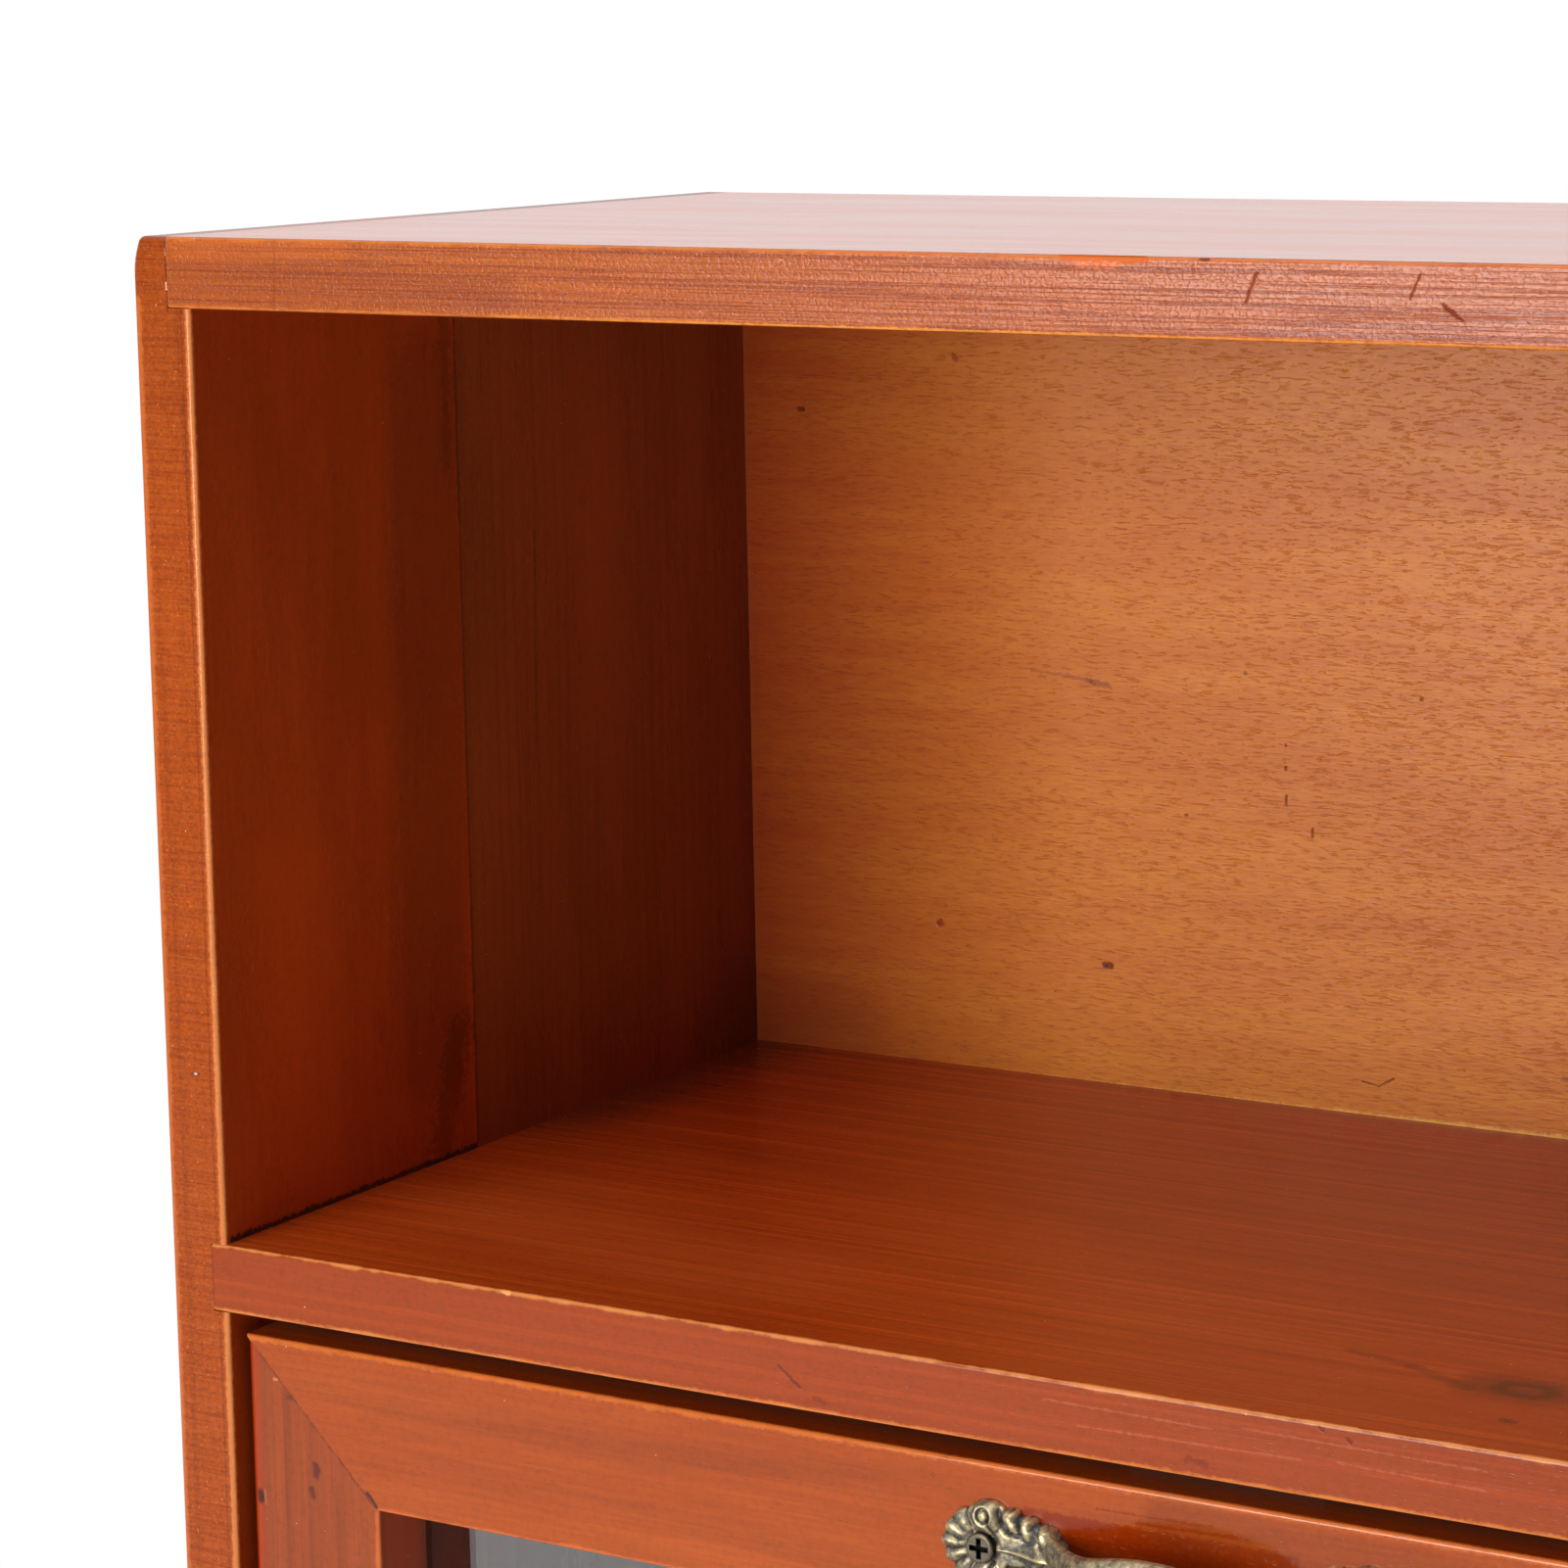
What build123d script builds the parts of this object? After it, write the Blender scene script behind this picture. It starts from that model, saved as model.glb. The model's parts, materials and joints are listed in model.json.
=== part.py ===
from build123d import *
import os
from math import cos, radians, sin

# A small wooden cabinet for a desk or counter: an open bay over two glazed doors that
# drop forward on hinges along their bottom edge. X runs from left to right, Y from front
# to back and Z up. The origin is the middle of the underside. Lengths are millimetres.

# ---------------------------------------------------------------- driving dimensions

# Carcass
width = 390.0                # over both sides
depth = 172.0                # front edges to back edges
side_thickness = 12.0
end_thickness = 12.0         # top board and bottom board
shelf_thickness = 12.0
open_bay_height = 161.0
door_bay_height = 145.5
front_board_width = 73.0     # front one of the two boards glued up into each side
end_lap = 4.5                # how far an end board laps onto the shoulder of a side
dado_depth = 3.0             # groove in a side that holds a shelf
back_thickness = 3.0
back_lap = 6.0               # rebate round the back that takes the back panel
corner_taper = (1.4, 4.3)    # planed off the outer top corners: how far in, how far down
corner_rounding = 1.4
taper_rounding = 12.0        # where the taper starts
front_rounding = 1.2         # outer front corners
arris_rounding = 0.7         # every other edge that shows

# Brads through the sides, and nails through the back
brad_diameter = 1.3
brad_length = 25.0
brad_sink = 1.0
brad_inset = 25.0            # from the front edge, the back edge and the glue line
nail_diameter = 1.4
nail_length = 15.0
nail_head_diameter = 3.2
nail_head_thickness = 0.8
nail_inset = 60.0            # outermost nail of a board to the inner face of the side
nail_shares = (0.25, 0.75)   # of a bay's height, for the nails into a side

# Doors
door_names = ("lower", "upper")
door_recess = 2.0            # door face behind the carcass edges
door_side_gap = 2.0
door_top_gap = 4.0
door_bottom_gap = 2.4
door_thickness = 15.0
frame_width = 27.5           # stiles and rails
stile_rounding = 1.8         # outer front corner of a stile
pane_thickness = 2.0
pane_lap = 6.0               # width of the rebate that takes the pane
pane_clearance = 0.5         # all round, in the rebate
door_brad_length = 30.0
door_brad_inset = 21.0       # from the top and the foot of a stile

# Turn buttons that hold the pane
button_length = 18.0
button_width = 7.0
button_thickness = 0.8
button_from_pane = 5.0       # screw to the edge of the rebate
button_spacing = 180.0       # along a rail
button_screw_diameter = 2.2
button_screw_length = 8.0
button_screw_head_diameter = 4.4
button_screw_head_height = 1.3

# Bow handle
handle_screw_spacing = 67.2
handle_drop = 13.2           # screws below the top edge of the door
plate_thickness = 1.6
shell_radius = 7.8
shell_lobe_radius = 1.7
shell_lobe_count = 11
leaf_lobes = ((1.6, 4.4, 3.4), (5.0, 4.2, 2.7), (8.3, 3.4, 2.4), (11.4, 2.6, 2.4))     # x, z, radius
bow_reach = 9.3              # door face to the middle of the bow
bow_half_height = 5.6
bow_half_thickness = 2.5
neck_half_height = 3.7
neck_flare = 0.4             # taller again where it meets the plate
neck_start = 9.0             # where the bow leaves the plate, from the screw
neck_waist = 16.0            # its narrowest place, from the screw
neck_end = 24.0              # where it has reached its full stand-off, from the screw
bow_steps = 8                # sections from the plate to the middle
handle_screw_diameter = 3.0
handle_screw_play = 0.2
handle_screw_length = 12.0
handle_screw_head_diameter = 5.0
handle_screw_head_height = 1.2

# Cross recess of a screw
recess_width_share = 0.18    # of the head's diameter
recess_length_share = 0.68
recess_depth_share = 0.75    # of the head's height

# Butt hinges
hinge_length = 25.0
leaf_width = 12.0
leaf_thickness = 0.9
hinge_from_edge = 45.0       # middle of a hinge to the side edge of the door
axis_behind_face = 1.0       # pin behind the face of the door
barrel_diameter = 3.4
barrel_clearance = 0.3
hinge_pin_diameter = 1.5
hinge_pin_play = 0.05        # radial, in the knuckle of the door leaf
hinge_pin_stand_out = 0.4
knuckle_gap = 0.3
web_inset = 0.1              # leaf's web clear of the pin hole, inside the knuckle
hinge_screw_spacing = 15.0
hinge_screw_diameter = 2.2
hinge_screw_head_diameter = 4.0
hinge_screw_length = 8.0
hinge_screw_inset = 7.0      # from the axis

# Magnetic catches
catch_length = 34.0
catch_depth = 12.0
catch_height = 12.0
catch_screw_spacing = 26.0
catch_screw_diameter = 2.4
catch_screw_length = 18.0
catch_screw_head_diameter = 4.6
catch_screw_head_height = 1.5
magnet_length = 14.0
magnet_height = 4.0
magnet_depth = 7.0
pole_thickness = 1.0
pole_stand_out = 0.6         # poles in front of the housing
poles_below_door_top = 1.5
strike_length = 24.0
strike_height = 10.0
strike_thickness = 1.0
strike_below_door_top = 0.8
strike_screw_diameter = 2.2
strike_screw_head_diameter = 4.0
strike_screw_length = 8.0

# ---------------------------------------------------------------- places

side_inner = width / 2 - side_thickness
front = -depth / 2
back = depth / 2
panel_front = back - back_thickness
seam = front + front_board_width
storey = door_bay_height + shelf_thickness
door_floors = [end_thickness + storey * k for k in range(len(door_names))]
open_floor = end_thickness + storey * len(door_names)
open_ceiling = open_floor + open_bay_height
height = open_ceiling + end_thickness
shelf_floors = [floor + door_bay_height for floor in door_floors]      # underside of each shelf

door_face = front + door_recess
door_back = door_face + door_thickness
door_width = 2 * (side_inner - door_side_gap)
door_height = door_bay_height - door_top_gap - door_bottom_gap
pane_front = door_back - pane_thickness
axis_y = door_face + axis_behind_face
axis_rise = door_bottom_gap / 2                                        # above the floor of the bay
hinge_places = (-door_width / 2 + hinge_from_edge, door_width / 2 - hinge_from_edge)

os.makedirs("parts", exist_ok=True)


# ---------------------------------------------------------------- helpers

def block(x, y, z):
    """A box between three pairs of coordinates."""
    size = (x[1] - x[0], y[1] - y[0], z[1] - z[0])
    return Pos(x[0], y[0], z[0]) * Box(*size, align=(Align.MIN, Align.MIN, Align.MIN))


def rounded(solid, axis, radius, **place):
    """Round the edges along an axis whose middles lie at the named coordinates."""
    chosen = [edge for edge in solid.edges().filter_by(axis)
              if all(abs(getattr(edge.center(), name) - value) < 1e-4 for name, value in place.items())]
    return fillet(chosen, radius)


def save(node, pieces):
    """Write the solids of one node."""
    solids = [solid for piece in pieces for solid in piece.solids()]
    export_step(solids[0] if len(solids) == 1 else Compound(solids), f"parts/{node}.step")


def pin(diameter, length):
    """A plain pin from the origin down -Z."""
    return Cylinder(diameter / 2, length, align=(Align.CENTER, Align.CENTER, Align.MAX))


def shank(diameter, length):
    """The shank and the point of a wood screw, from the origin down -Z."""
    point = Cone(diameter / 8, diameter / 2, diameter, align=(Align.CENTER, Align.CENTER, Align.MAX))
    return pin(diameter, length - diameter) + Pos(0, 0, diameter - length) * point


def cross_recess(head_diameter, head_height):
    """What a cross-head driver takes out of a head whose top is z = 0."""
    length = head_diameter * recess_length_share
    bar = Box(length, head_diameter * recess_width_share, head_height * recess_depth_share,
              align=(Align.CENTER, Align.CENTER, Align.MAX))
    return bar + Rot(0, 0, 90) * bar


def pan_screw(diameter, length, head_diameter, head_height):
    """A screw whose head stands on z = 0, with its shank down -Z."""
    head = Cylinder(head_diameter / 2, head_height, align=(Align.CENTER, Align.CENTER, Align.MIN))
    head = fillet(head.edges().group_by(Axis.Z)[-1], head_height * 0.4)
    return head + shank(diameter, length) - Pos(0, 0, head_height) * cross_recess(head_diameter, head_height)


def flat_head(diameter, head_diameter):
    """A countersunk head with its top on z = 0."""
    sink = (head_diameter - diameter) / 2
    return Cone(diameter / 2, head_diameter / 2, sink, align=(Align.CENTER, Align.CENTER, Align.MAX))


def flat_room(diameter, length, head_diameter):
    """The room that a countersunk screw takes: its head flush with z = 0, its shank down -Z."""
    return flat_head(diameter, head_diameter) + shank(diameter, length)


def flat_screw(diameter, length, head_diameter):
    """A countersunk screw, as its room but with the cross recess."""
    sink = (head_diameter - diameter) / 2
    return flat_room(diameter, length, head_diameter) - cross_recess(head_diameter, sink)


def smooth(share):
    """Ease from 0 to 1 while share goes from 0 to 1."""
    share = min(max(share, 0.0), 1.0)
    return share * share * (3 - 2 * share)


# ---------------------------------------------------------------- fasteners of the carcass

def side_brads(side, length, start):
    """Pins through one side into the ends of all four boards, from a distance inside its outer face."""
    middles = [end_thickness / 2, *(z + shelf_thickness / 2 for z in shelf_floors), height - end_thickness / 2]
    rows = (front + brad_inset, seam + brad_inset, back - brad_inset)
    turned = Rot(0, 90 * side, 0) * pin(brad_diameter, length)
    return [Pos(side * (width / 2 - start), y, z) * turned for z in middles for y in rows]


def back_nails():
    """Nails from behind through the back panel, their heads flush with it."""
    nail = Rot(-90, 0, 0) * (pin(nail_diameter, nail_length) + pin(nail_head_diameter, nail_head_thickness))
    bays = [(floor, door_bay_height) for floor in door_floors] + [(open_floor, open_bay_height)]
    lap_middle = side_inner + back_lap / 2
    spots = [(side * lap_middle, floor + tall * share)
             for side in (-1, 1) for floor, tall in bays for share in nail_shares]
    levels = [end_thickness - back_lap / 2, *(z + shelf_thickness / 2 for z in shelf_floors),
              open_ceiling + back_lap / 2]
    columns = (-side_inner + nail_inset, 0, side_inner - nail_inset)
    spots += [(x, z) for z in levels for x in columns]
    return [Pos(x, back, z) * nail for x, z in spots]


def hinge_screws(floor, shape=flat_screw):
    """The screws of one door's two fixed leaves; with flat_room, the room they take."""
    screw = shape(hinge_screw_diameter, hinge_screw_length, hinge_screw_head_diameter)
    return [Pos(x + side * hinge_screw_spacing / 2, axis_y + hinge_screw_inset, floor + leaf_thickness) * screw
            for x in hinge_places for side in (-1, 1)]


def catch_screws(ceiling):
    """The two screws that hold one catch up under a shelf."""
    screw = Rot(180, 0, 0) * pan_screw(
        catch_screw_diameter, catch_screw_length, catch_screw_head_diameter, catch_screw_head_height)
    y = catch_front + catch_depth / 2
    return [Pos(side * catch_screw_spacing / 2, y, ceiling - catch_height) * screw for side in (-1, 1)]


catch_front = door_back + strike_thickness + pole_stand_out
brads = [brad for side in (-1, 1) for brad in side_brads(side, brad_length, brad_sink)]
brad_mouths = [hole for side in (-1, 1) for hole in side_brads(side, brad_sink, 0)]
nails = back_nails()
carcass_fasteners = brads + nails
for floor, ceiling in zip(door_floors, shelf_floors):
    carcass_fasteners += hinge_screws(floor, flat_room) + catch_screws(ceiling)


# ---------------------------------------------------------------- carcass

def side_boards(side):
    """The front and rear boards of one side: rebates at both ends and the back, a groove for each shelf."""
    panel = block((side_inner, width / 2), (front, back), (0, height))
    taper_x = width / 2 - corner_taper[0]
    taper_z = height - corner_taper[1]
    wedge = Polygon((width / 2, height), (taper_x, height), (width / 2, taper_z), align=None)
    panel -= extrude(Plane.XZ * wedge, depth, both=True)
    panel = rounded(panel, Axis.Y, corner_rounding, X=taper_x, Z=height)
    panel = rounded(panel, Axis.Y, taper_rounding, X=width / 2, Z=taper_z)
    panel = rounded(panel, Axis.Z, front_rounding, X=width / 2, Y=front)
    panel = rounded(panel, Axis.Z, arris_rounding, X=side_inner, Y=front)
    for low, high in ((0, end_thickness), (open_ceiling, height)):
        panel -= block((side_inner, side_inner + end_lap), (front, back), (low, high))
    groove = (side_inner, side_inner + dado_depth)
    for low in shelf_floors:
        panel -= block(groove, (front, panel_front), (low, low + shelf_thickness))
    panel -= block((side_inner, side_inner + back_lap), (panel_front, back),
                   (end_thickness - back_lap, open_ceiling + back_lap))
    if side < 0:
        panel = mirror(panel, about=Plane.YZ)
    panel -= carcass_fasteners + brad_mouths
    return [panel & block((-width, width), y, (-height, 2 * height)) for y in ((front, seam), (seam, back))]


def cross_board(half_length, y, z):
    """A board across the carcass with its two front edges rounded."""
    board = block((-half_length, half_length), y, z)
    for level in z:
        board = rounded(board, Axis.X, arris_rounding, Y=y[0], Z=level)
    return board


def end_board(z, rebate):
    """The top or the bottom board, with the rebate for the back panel."""
    board = cross_board(side_inner + end_lap, (front, back), z)
    return board - block((-width, width), (panel_front, back), rebate) - carcass_fasteners


def shelf(floor):
    """A shelf housed in the grooves of both sides."""
    board = cross_board(side_inner + dado_depth, (front, panel_front), (floor, floor + shelf_thickness))
    return board - carcass_fasteners


def barrel_groove(x, floor):
    """Room for the barrel of a hinge whose bay floor is at this height."""
    length = hinge_length + 2 * (hinge_pin_stand_out + barrel_clearance)
    radius = barrel_diameter / 2 + barrel_clearance
    return Pos(x, axis_y, floor + axis_rise) * Rot(0, 90, 0) * Cylinder(radius, length)


for name, side in (("left", -1), ("right", 1)):
    front_board, rear_board = side_boards(side)
    save(f"side_{name}_front_board", [front_board])
    save(f"side_{name}_rear_board", [rear_board])

bottom_board = end_board((0, end_thickness), (end_thickness - back_lap, end_thickness))
save("bottom_board", [bottom_board - [barrel_groove(x, door_floors[0]) for x in hinge_places]])
save("middle_shelf", [shelf(shelf_floors[0]) - [barrel_groove(x, door_floors[1]) for x in hinge_places]])
save("open_bay_shelf", [shelf(shelf_floors[1])])
save("top_board", [end_board((open_ceiling, height), (open_ceiling, open_ceiling + back_lap))])
save("back_panel", [block((-side_inner - back_lap, side_inner + back_lap), (panel_front, back),
                          (end_thickness - back_lap, open_ceiling + back_lap)) - nails])
save("side_brads", brads)
save("back_nails", nails)


# ---------------------------------------------------------------- door frame

def frame_member(length, rounding):
    """A rail mitred at both ends, its outer edge z = 0, its face y = 0 and its rebate behind."""
    rail = block((-length / 2, length / 2), (0, door_thickness), (-frame_width, 0))
    rail = rounded(rail, Axis.X, rounding, Y=0, Z=0)
    rail = rounded(rail, Axis.X, arris_rounding, Y=0, Z=-frame_width)
    rail -= block((-length, length), (door_thickness - pane_thickness, door_thickness),
                  (-frame_width, -frame_width + pane_lap))
    reach = 4 * frame_width
    for side, align in ((-1, Align.MAX), (1, Align.MIN)):
        end = Box(reach, reach, reach, align=(align, Align.CENTER, Align.CENTER))
        rail -= Pos(side * length / 2, 0, 0) * Rot(0, 45 * side, 0) * end
    return rail


def around_frame(rail_piece, stile_piece, floor):
    """Copies of two pieces drawn for a top rail, set on the top rail, foot rail and both stiles."""
    bottom = floor + door_bottom_gap
    middle = bottom + door_height / 2
    return {
        "rail_top": Pos(0, door_face, bottom + door_height) * rail_piece,
        "rail_bottom": Pos(0, door_face, bottom) * Rot(0, 180, 0) * rail_piece,
        "stile_left": Pos(-door_width / 2, door_face, middle) * Rot(0, -90, 0) * stile_piece,
        "stile_right": Pos(door_width / 2, door_face, middle) * Rot(0, 90, 0) * stile_piece,
    }


def frame_brads(floor):
    """A brad at each corner, through the stile into the end of the rail, and the holes over the heads."""
    bottom = floor + door_bottom_gap
    y = door_face + (door_thickness - pane_thickness) / 2
    levels = (bottom + door_brad_inset, bottom + door_height - door_brad_inset)
    places = [Pos(side * door_width / 2, y, z) * Rot(0, 90 * side, 0) for side in (-1, 1) for z in levels]
    brad = Pos(0, 0, -brad_sink) * pin(brad_diameter, door_brad_length)
    return [place * brad for place in places], [place * pin(brad_diameter, brad_sink) for place in places]


def turn_button():
    """A turn button for the top rail: it lies on the back of the frame and over the edge of the pane."""
    strip = extrude(SlotOverall(button_length, button_width, rotation=90), button_thickness)
    strip -= Cylinder(button_screw_diameter / 2, 4 * button_thickness)
    return button_seat(0) * strip


def button_screw():
    """The screw of a turn button, for the top rail."""
    screw = pan_screw(button_screw_diameter, button_screw_length + button_thickness,
                      button_screw_head_diameter, button_screw_head_height)
    return button_seat(button_thickness) * screw


def button_seat(stand_off):
    """Where a turn button's screw meets the back of the top rail, Z pointing out of the wood."""
    z = -frame_width + pane_lap + button_from_pane
    return Pos(0, door_thickness + stand_off, z) * Rot(-90, 0, 0)


def on_rail(piece):
    """A piece at both button places of a rail."""
    places = [Pos(side * button_spacing / 2, 0, 0) for side in (-1, 1)]
    return Compound([place * solid for place in places for solid in piece.solids()])


# ---------------------------------------------------------------- handle

def handle_plate():
    """The left end of the handle about its screw: a fan of lobes to the left, leaves to the right."""
    ring = shell_radius - shell_lobe_radius
    outline = Circle(ring)
    for k in range(shell_lobe_count):
        angle = radians(90 + 180 * k / (shell_lobe_count - 1))
        outline += Pos(ring * cos(angle), ring * sin(angle)) * Circle(shell_lobe_radius)
    for x, z, radius in leaf_lobes:
        outline += Pos(x, z) * Circle(radius)
        outline += Pos(x, -z) * Circle(radius)
    last_x, last_z, last_radius = leaf_lobes[-1]
    outline += Pos(last_x / 2, 0) * Rectangle(last_x, 2 * last_z)
    plate = extrude(outline, plate_thickness)
    return Rot(90, 0, 0) * plate


def bow():
    """The grip with both necks, from plate to plate, lofted through upright oval sections."""
    middle = handle_screw_spacing / 2
    sections = []
    for k in range(-bow_steps, bow_steps + 1):
        x = k * (middle - neck_start) / bow_steps
        from_screw = middle - abs(x)
        rise = smooth((from_screw - neck_start) / (neck_end - neck_start))
        swell = smooth((from_screw - neck_waist) / (middle - neck_waist))
        flare = neck_flare * smooth((neck_waist - from_screw) / (neck_waist - neck_start))
        start = bow_half_thickness / 2
        y = -start - (bow_reach - start) * rise
        half_height = neck_half_height + (bow_half_height - neck_half_height) * swell + flare
        half_thickness = start + (bow_half_thickness - start) * rise
        plane = Plane(origin=(x, y, 0), x_dir=(0, 1, 0), z_dir=(1, 0, 0))
        sections.append(plane * Ellipse(half_thickness, half_height))
    return loft(sections)


def handle(z):
    """The cast handle on the door's face, with its two screw holes."""
    left = Pos(-handle_screw_spacing / 2, 0, 0) * handle_plate()
    cast = left + mirror(left, about=Plane.YZ) + bow()
    cast &= block((-width, width), (-depth, 0), (-height, height))
    for side in (-1, 1):
        hole = Cylinder(handle_screw_diameter / 2 + handle_screw_play, 4 * plate_thickness)
        cast -= Pos(side * handle_screw_spacing / 2, 0, 0) * Rot(90, 0, 0) * hole
    return Pos(0, door_face, z) * cast


def handle_screws(z):
    """The two screws that hold the handle."""
    screw = Rot(90, 0, 0) * pan_screw(handle_screw_diameter, handle_screw_length,
                                      handle_screw_head_diameter, handle_screw_head_height)
    return [Pos(side * handle_screw_spacing / 2, door_face - plate_thickness, z) * screw for side in (-1, 1)]


# ---------------------------------------------------------------- hinges

def knuckle(x, length, hole_radius):
    """One knuckle on the hinge axis, which is y = z = 0 here."""
    ring = Cylinder(barrel_diameter / 2, length) - Cylinder(hole_radius, 2 * length)
    return Pos(x, 0, 0) * Rot(0, 90, 0) * ring


def leaf(knuckles, hole_radius, side):
    """A hinge leaf about its axis: below it for the cabinet (side -1), above it for the door (side 1)."""
    outer = axis_rise
    inner = axis_rise - leaf_thickness
    z = (inner, outer) if side > 0 else (-outer, -inner)
    clear = barrel_diameter / 2 + barrel_clearance
    plate = block((-hinge_length / 2, hinge_length / 2), (clear, leaf_width), z)
    for x, length in knuckles:
        plate += block((x - length / 2, x + length / 2), (hole_radius + web_inset, clear), z)
        plate += knuckle(x, length, hole_radius)
    holes = []
    for end in (-1, 1):
        place = Pos(end * hinge_screw_spacing / 2, hinge_screw_inset, side * inner)
        cut = flat_room(hinge_screw_diameter, hinge_screw_length, hinge_screw_head_diameter)
        holes.append(place * (Rot(180, 0, 0) if side > 0 else Rot(0, 0, 0)) * cut)
    return plate - holes


def fixed_leaf():
    """The leaf on the cabinet, with the two outer knuckles, tight on the pin."""
    length = hinge_length / 3
    return leaf([(-length, length), (length, length)], hinge_pin_diameter / 2, -1)


def door_leaf():
    """The leaf under the door, with the middle knuckle, free on the pin."""
    length = hinge_length / 3 - 2 * knuckle_gap
    return leaf([(0, length)], hinge_pin_diameter / 2 + hinge_pin_play, 1)


def hinge_pin():
    """The pin with its ends just out of the barrel."""
    return Rot(0, 90, 0) * Cylinder(hinge_pin_diameter / 2, hinge_length + 2 * hinge_pin_stand_out)


def door_leaf_screws(floor, shape=flat_screw):
    """The screws of one door's two door leaves, up into the foot rail; with flat_room, the room they take."""
    screw = Rot(180, 0, 0) * shape(hinge_screw_diameter, hinge_screw_length, hinge_screw_head_diameter)
    z = floor + door_bottom_gap - leaf_thickness
    return [Pos(x + side * hinge_screw_spacing / 2, axis_y + hinge_screw_inset, z) * screw
            for x in hinge_places for side in (-1, 1)]


# ---------------------------------------------------------------- catches

def catch_parts(ceiling):
    """One magnetic catch under a shelf: housing, magnet and two pole plates."""
    half_magnet = magnet_length / 2
    poles_top = ceiling - door_top_gap - poles_below_door_top
    poles_bottom = poles_top - magnet_height - 2 * pole_thickness
    y = (catch_front, catch_front + magnet_depth)
    x = (-half_magnet, half_magnet)
    housing = block((-catch_length / 2, catch_length / 2), (catch_front, catch_front + catch_depth),
                    (ceiling - catch_height, ceiling))
    housing = housing - block(x, y, (poles_bottom, poles_top)) - catch_screws(ceiling)
    magnet = block(x, y, (poles_bottom + pole_thickness, poles_top - pole_thickness))
    pole_y = (catch_front - pole_stand_out, y[1])
    pole_floors = (poles_bottom, poles_top - pole_thickness)
    poles = [block(x, pole_y, (low, low + pole_thickness)) for low in pole_floors]
    return housing, magnet, poles


def strike_screw(door_top, shape=flat_screw):
    """The screw in the middle of the strike plate, flush with it; with flat_room, the room it takes."""
    screw = Rot(-90, 0, 0) * shape(strike_screw_diameter, strike_screw_length, strike_screw_head_diameter)
    z = door_top - strike_below_door_top - strike_height / 2
    return Pos(0, door_back + strike_thickness, z) * screw


def strike_plate(door_top):
    """The steel plate on the back of the top rail that the magnet holds."""
    top = door_top - strike_below_door_top
    plate = block((-strike_length / 2, strike_length / 2), (door_back, door_back + strike_thickness),
                  (top - strike_height, top))
    return plate - strike_screw(door_top, flat_room)


# ---------------------------------------------------------------- doors, with their hinges and catches

for name, floor, ceiling in zip(door_names, door_floors, shelf_floors):
    door_top = ceiling - door_top_gap
    handle_z = door_top - handle_drop
    corner_brads, corner_mouths = frame_brads(floor)
    handle_fixings = handle_screws(handle_z)
    button_screws = around_frame(on_rail(button_screw()), button_screw(), floor)
    door_fasteners = corner_brads + corner_mouths + handle_fixings
    door_fasteners += [solid for screws in button_screws.values() for solid in screws.solids()]
    door_fasteners += door_leaf_screws(floor, flat_room) + [strike_screw(door_top, flat_room)]
    door_fasteners += [barrel_groove(x, floor) for x in hinge_places]
    rail = frame_member(door_width, arris_rounding)
    stile = frame_member(door_height, stile_rounding)
    members = around_frame(rail, stile, floor)
    for member, wood in members.items():
        save(f"{name}_door_{member}", [wood - door_fasteners])
    save(f"{name}_door_brads", corner_brads)

    half_pane = side_inner - door_side_gap - frame_width + pane_lap - pane_clearance
    pane_edge = frame_width - pane_lap + pane_clearance
    pane_z = (floor + door_bottom_gap + pane_edge, door_top - pane_edge)
    save(f"{name}_door_pane", [block((-half_pane, half_pane), (pane_front, door_back), pane_z)])
    buttons = around_frame(on_rail(turn_button()), turn_button(), floor)
    save(f"{name}_door_turn_buttons", buttons.values())
    save(f"{name}_door_button_screws", button_screws.values())

    save(f"{name}_door_handle", [handle(handle_z)])
    save(f"{name}_door_handle_screws", handle_fixings)

    axis_place = Pos(0, axis_y, floor + axis_rise)
    for end, x in zip(("left", "right"), hinge_places):
        save(f"{name}_hinge_{end}_fixed_leaf", [Pos(x, 0, 0) * axis_place * fixed_leaf()])
        save(f"{name}_hinge_{end}_door_leaf", [Pos(x, 0, 0) * axis_place * door_leaf()])
    save(f"{name}_hinge_pins", [Pos(x, 0, 0) * axis_place * hinge_pin() for x in hinge_places])
    save(f"{name}_hinge_fixed_screws", hinge_screws(floor))
    save(f"{name}_hinge_door_screws", door_leaf_screws(floor))

    housing, magnet, poles = catch_parts(ceiling)
    save(f"{name}_catch_housing", [housing])
    save(f"{name}_catch_magnet", [magnet])
    save(f"{name}_catch_poles", poles)
    save(f"{name}_catch_screws", catch_screws(ceiling))
    save(f"{name}_strike_plate", [strike_plate(door_top)])
    save(f"{name}_strike_screw", [strike_screw(door_top)])
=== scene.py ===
import bmesh
import bpy
import json
import math
from mathutils import Matrix, Vector


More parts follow.
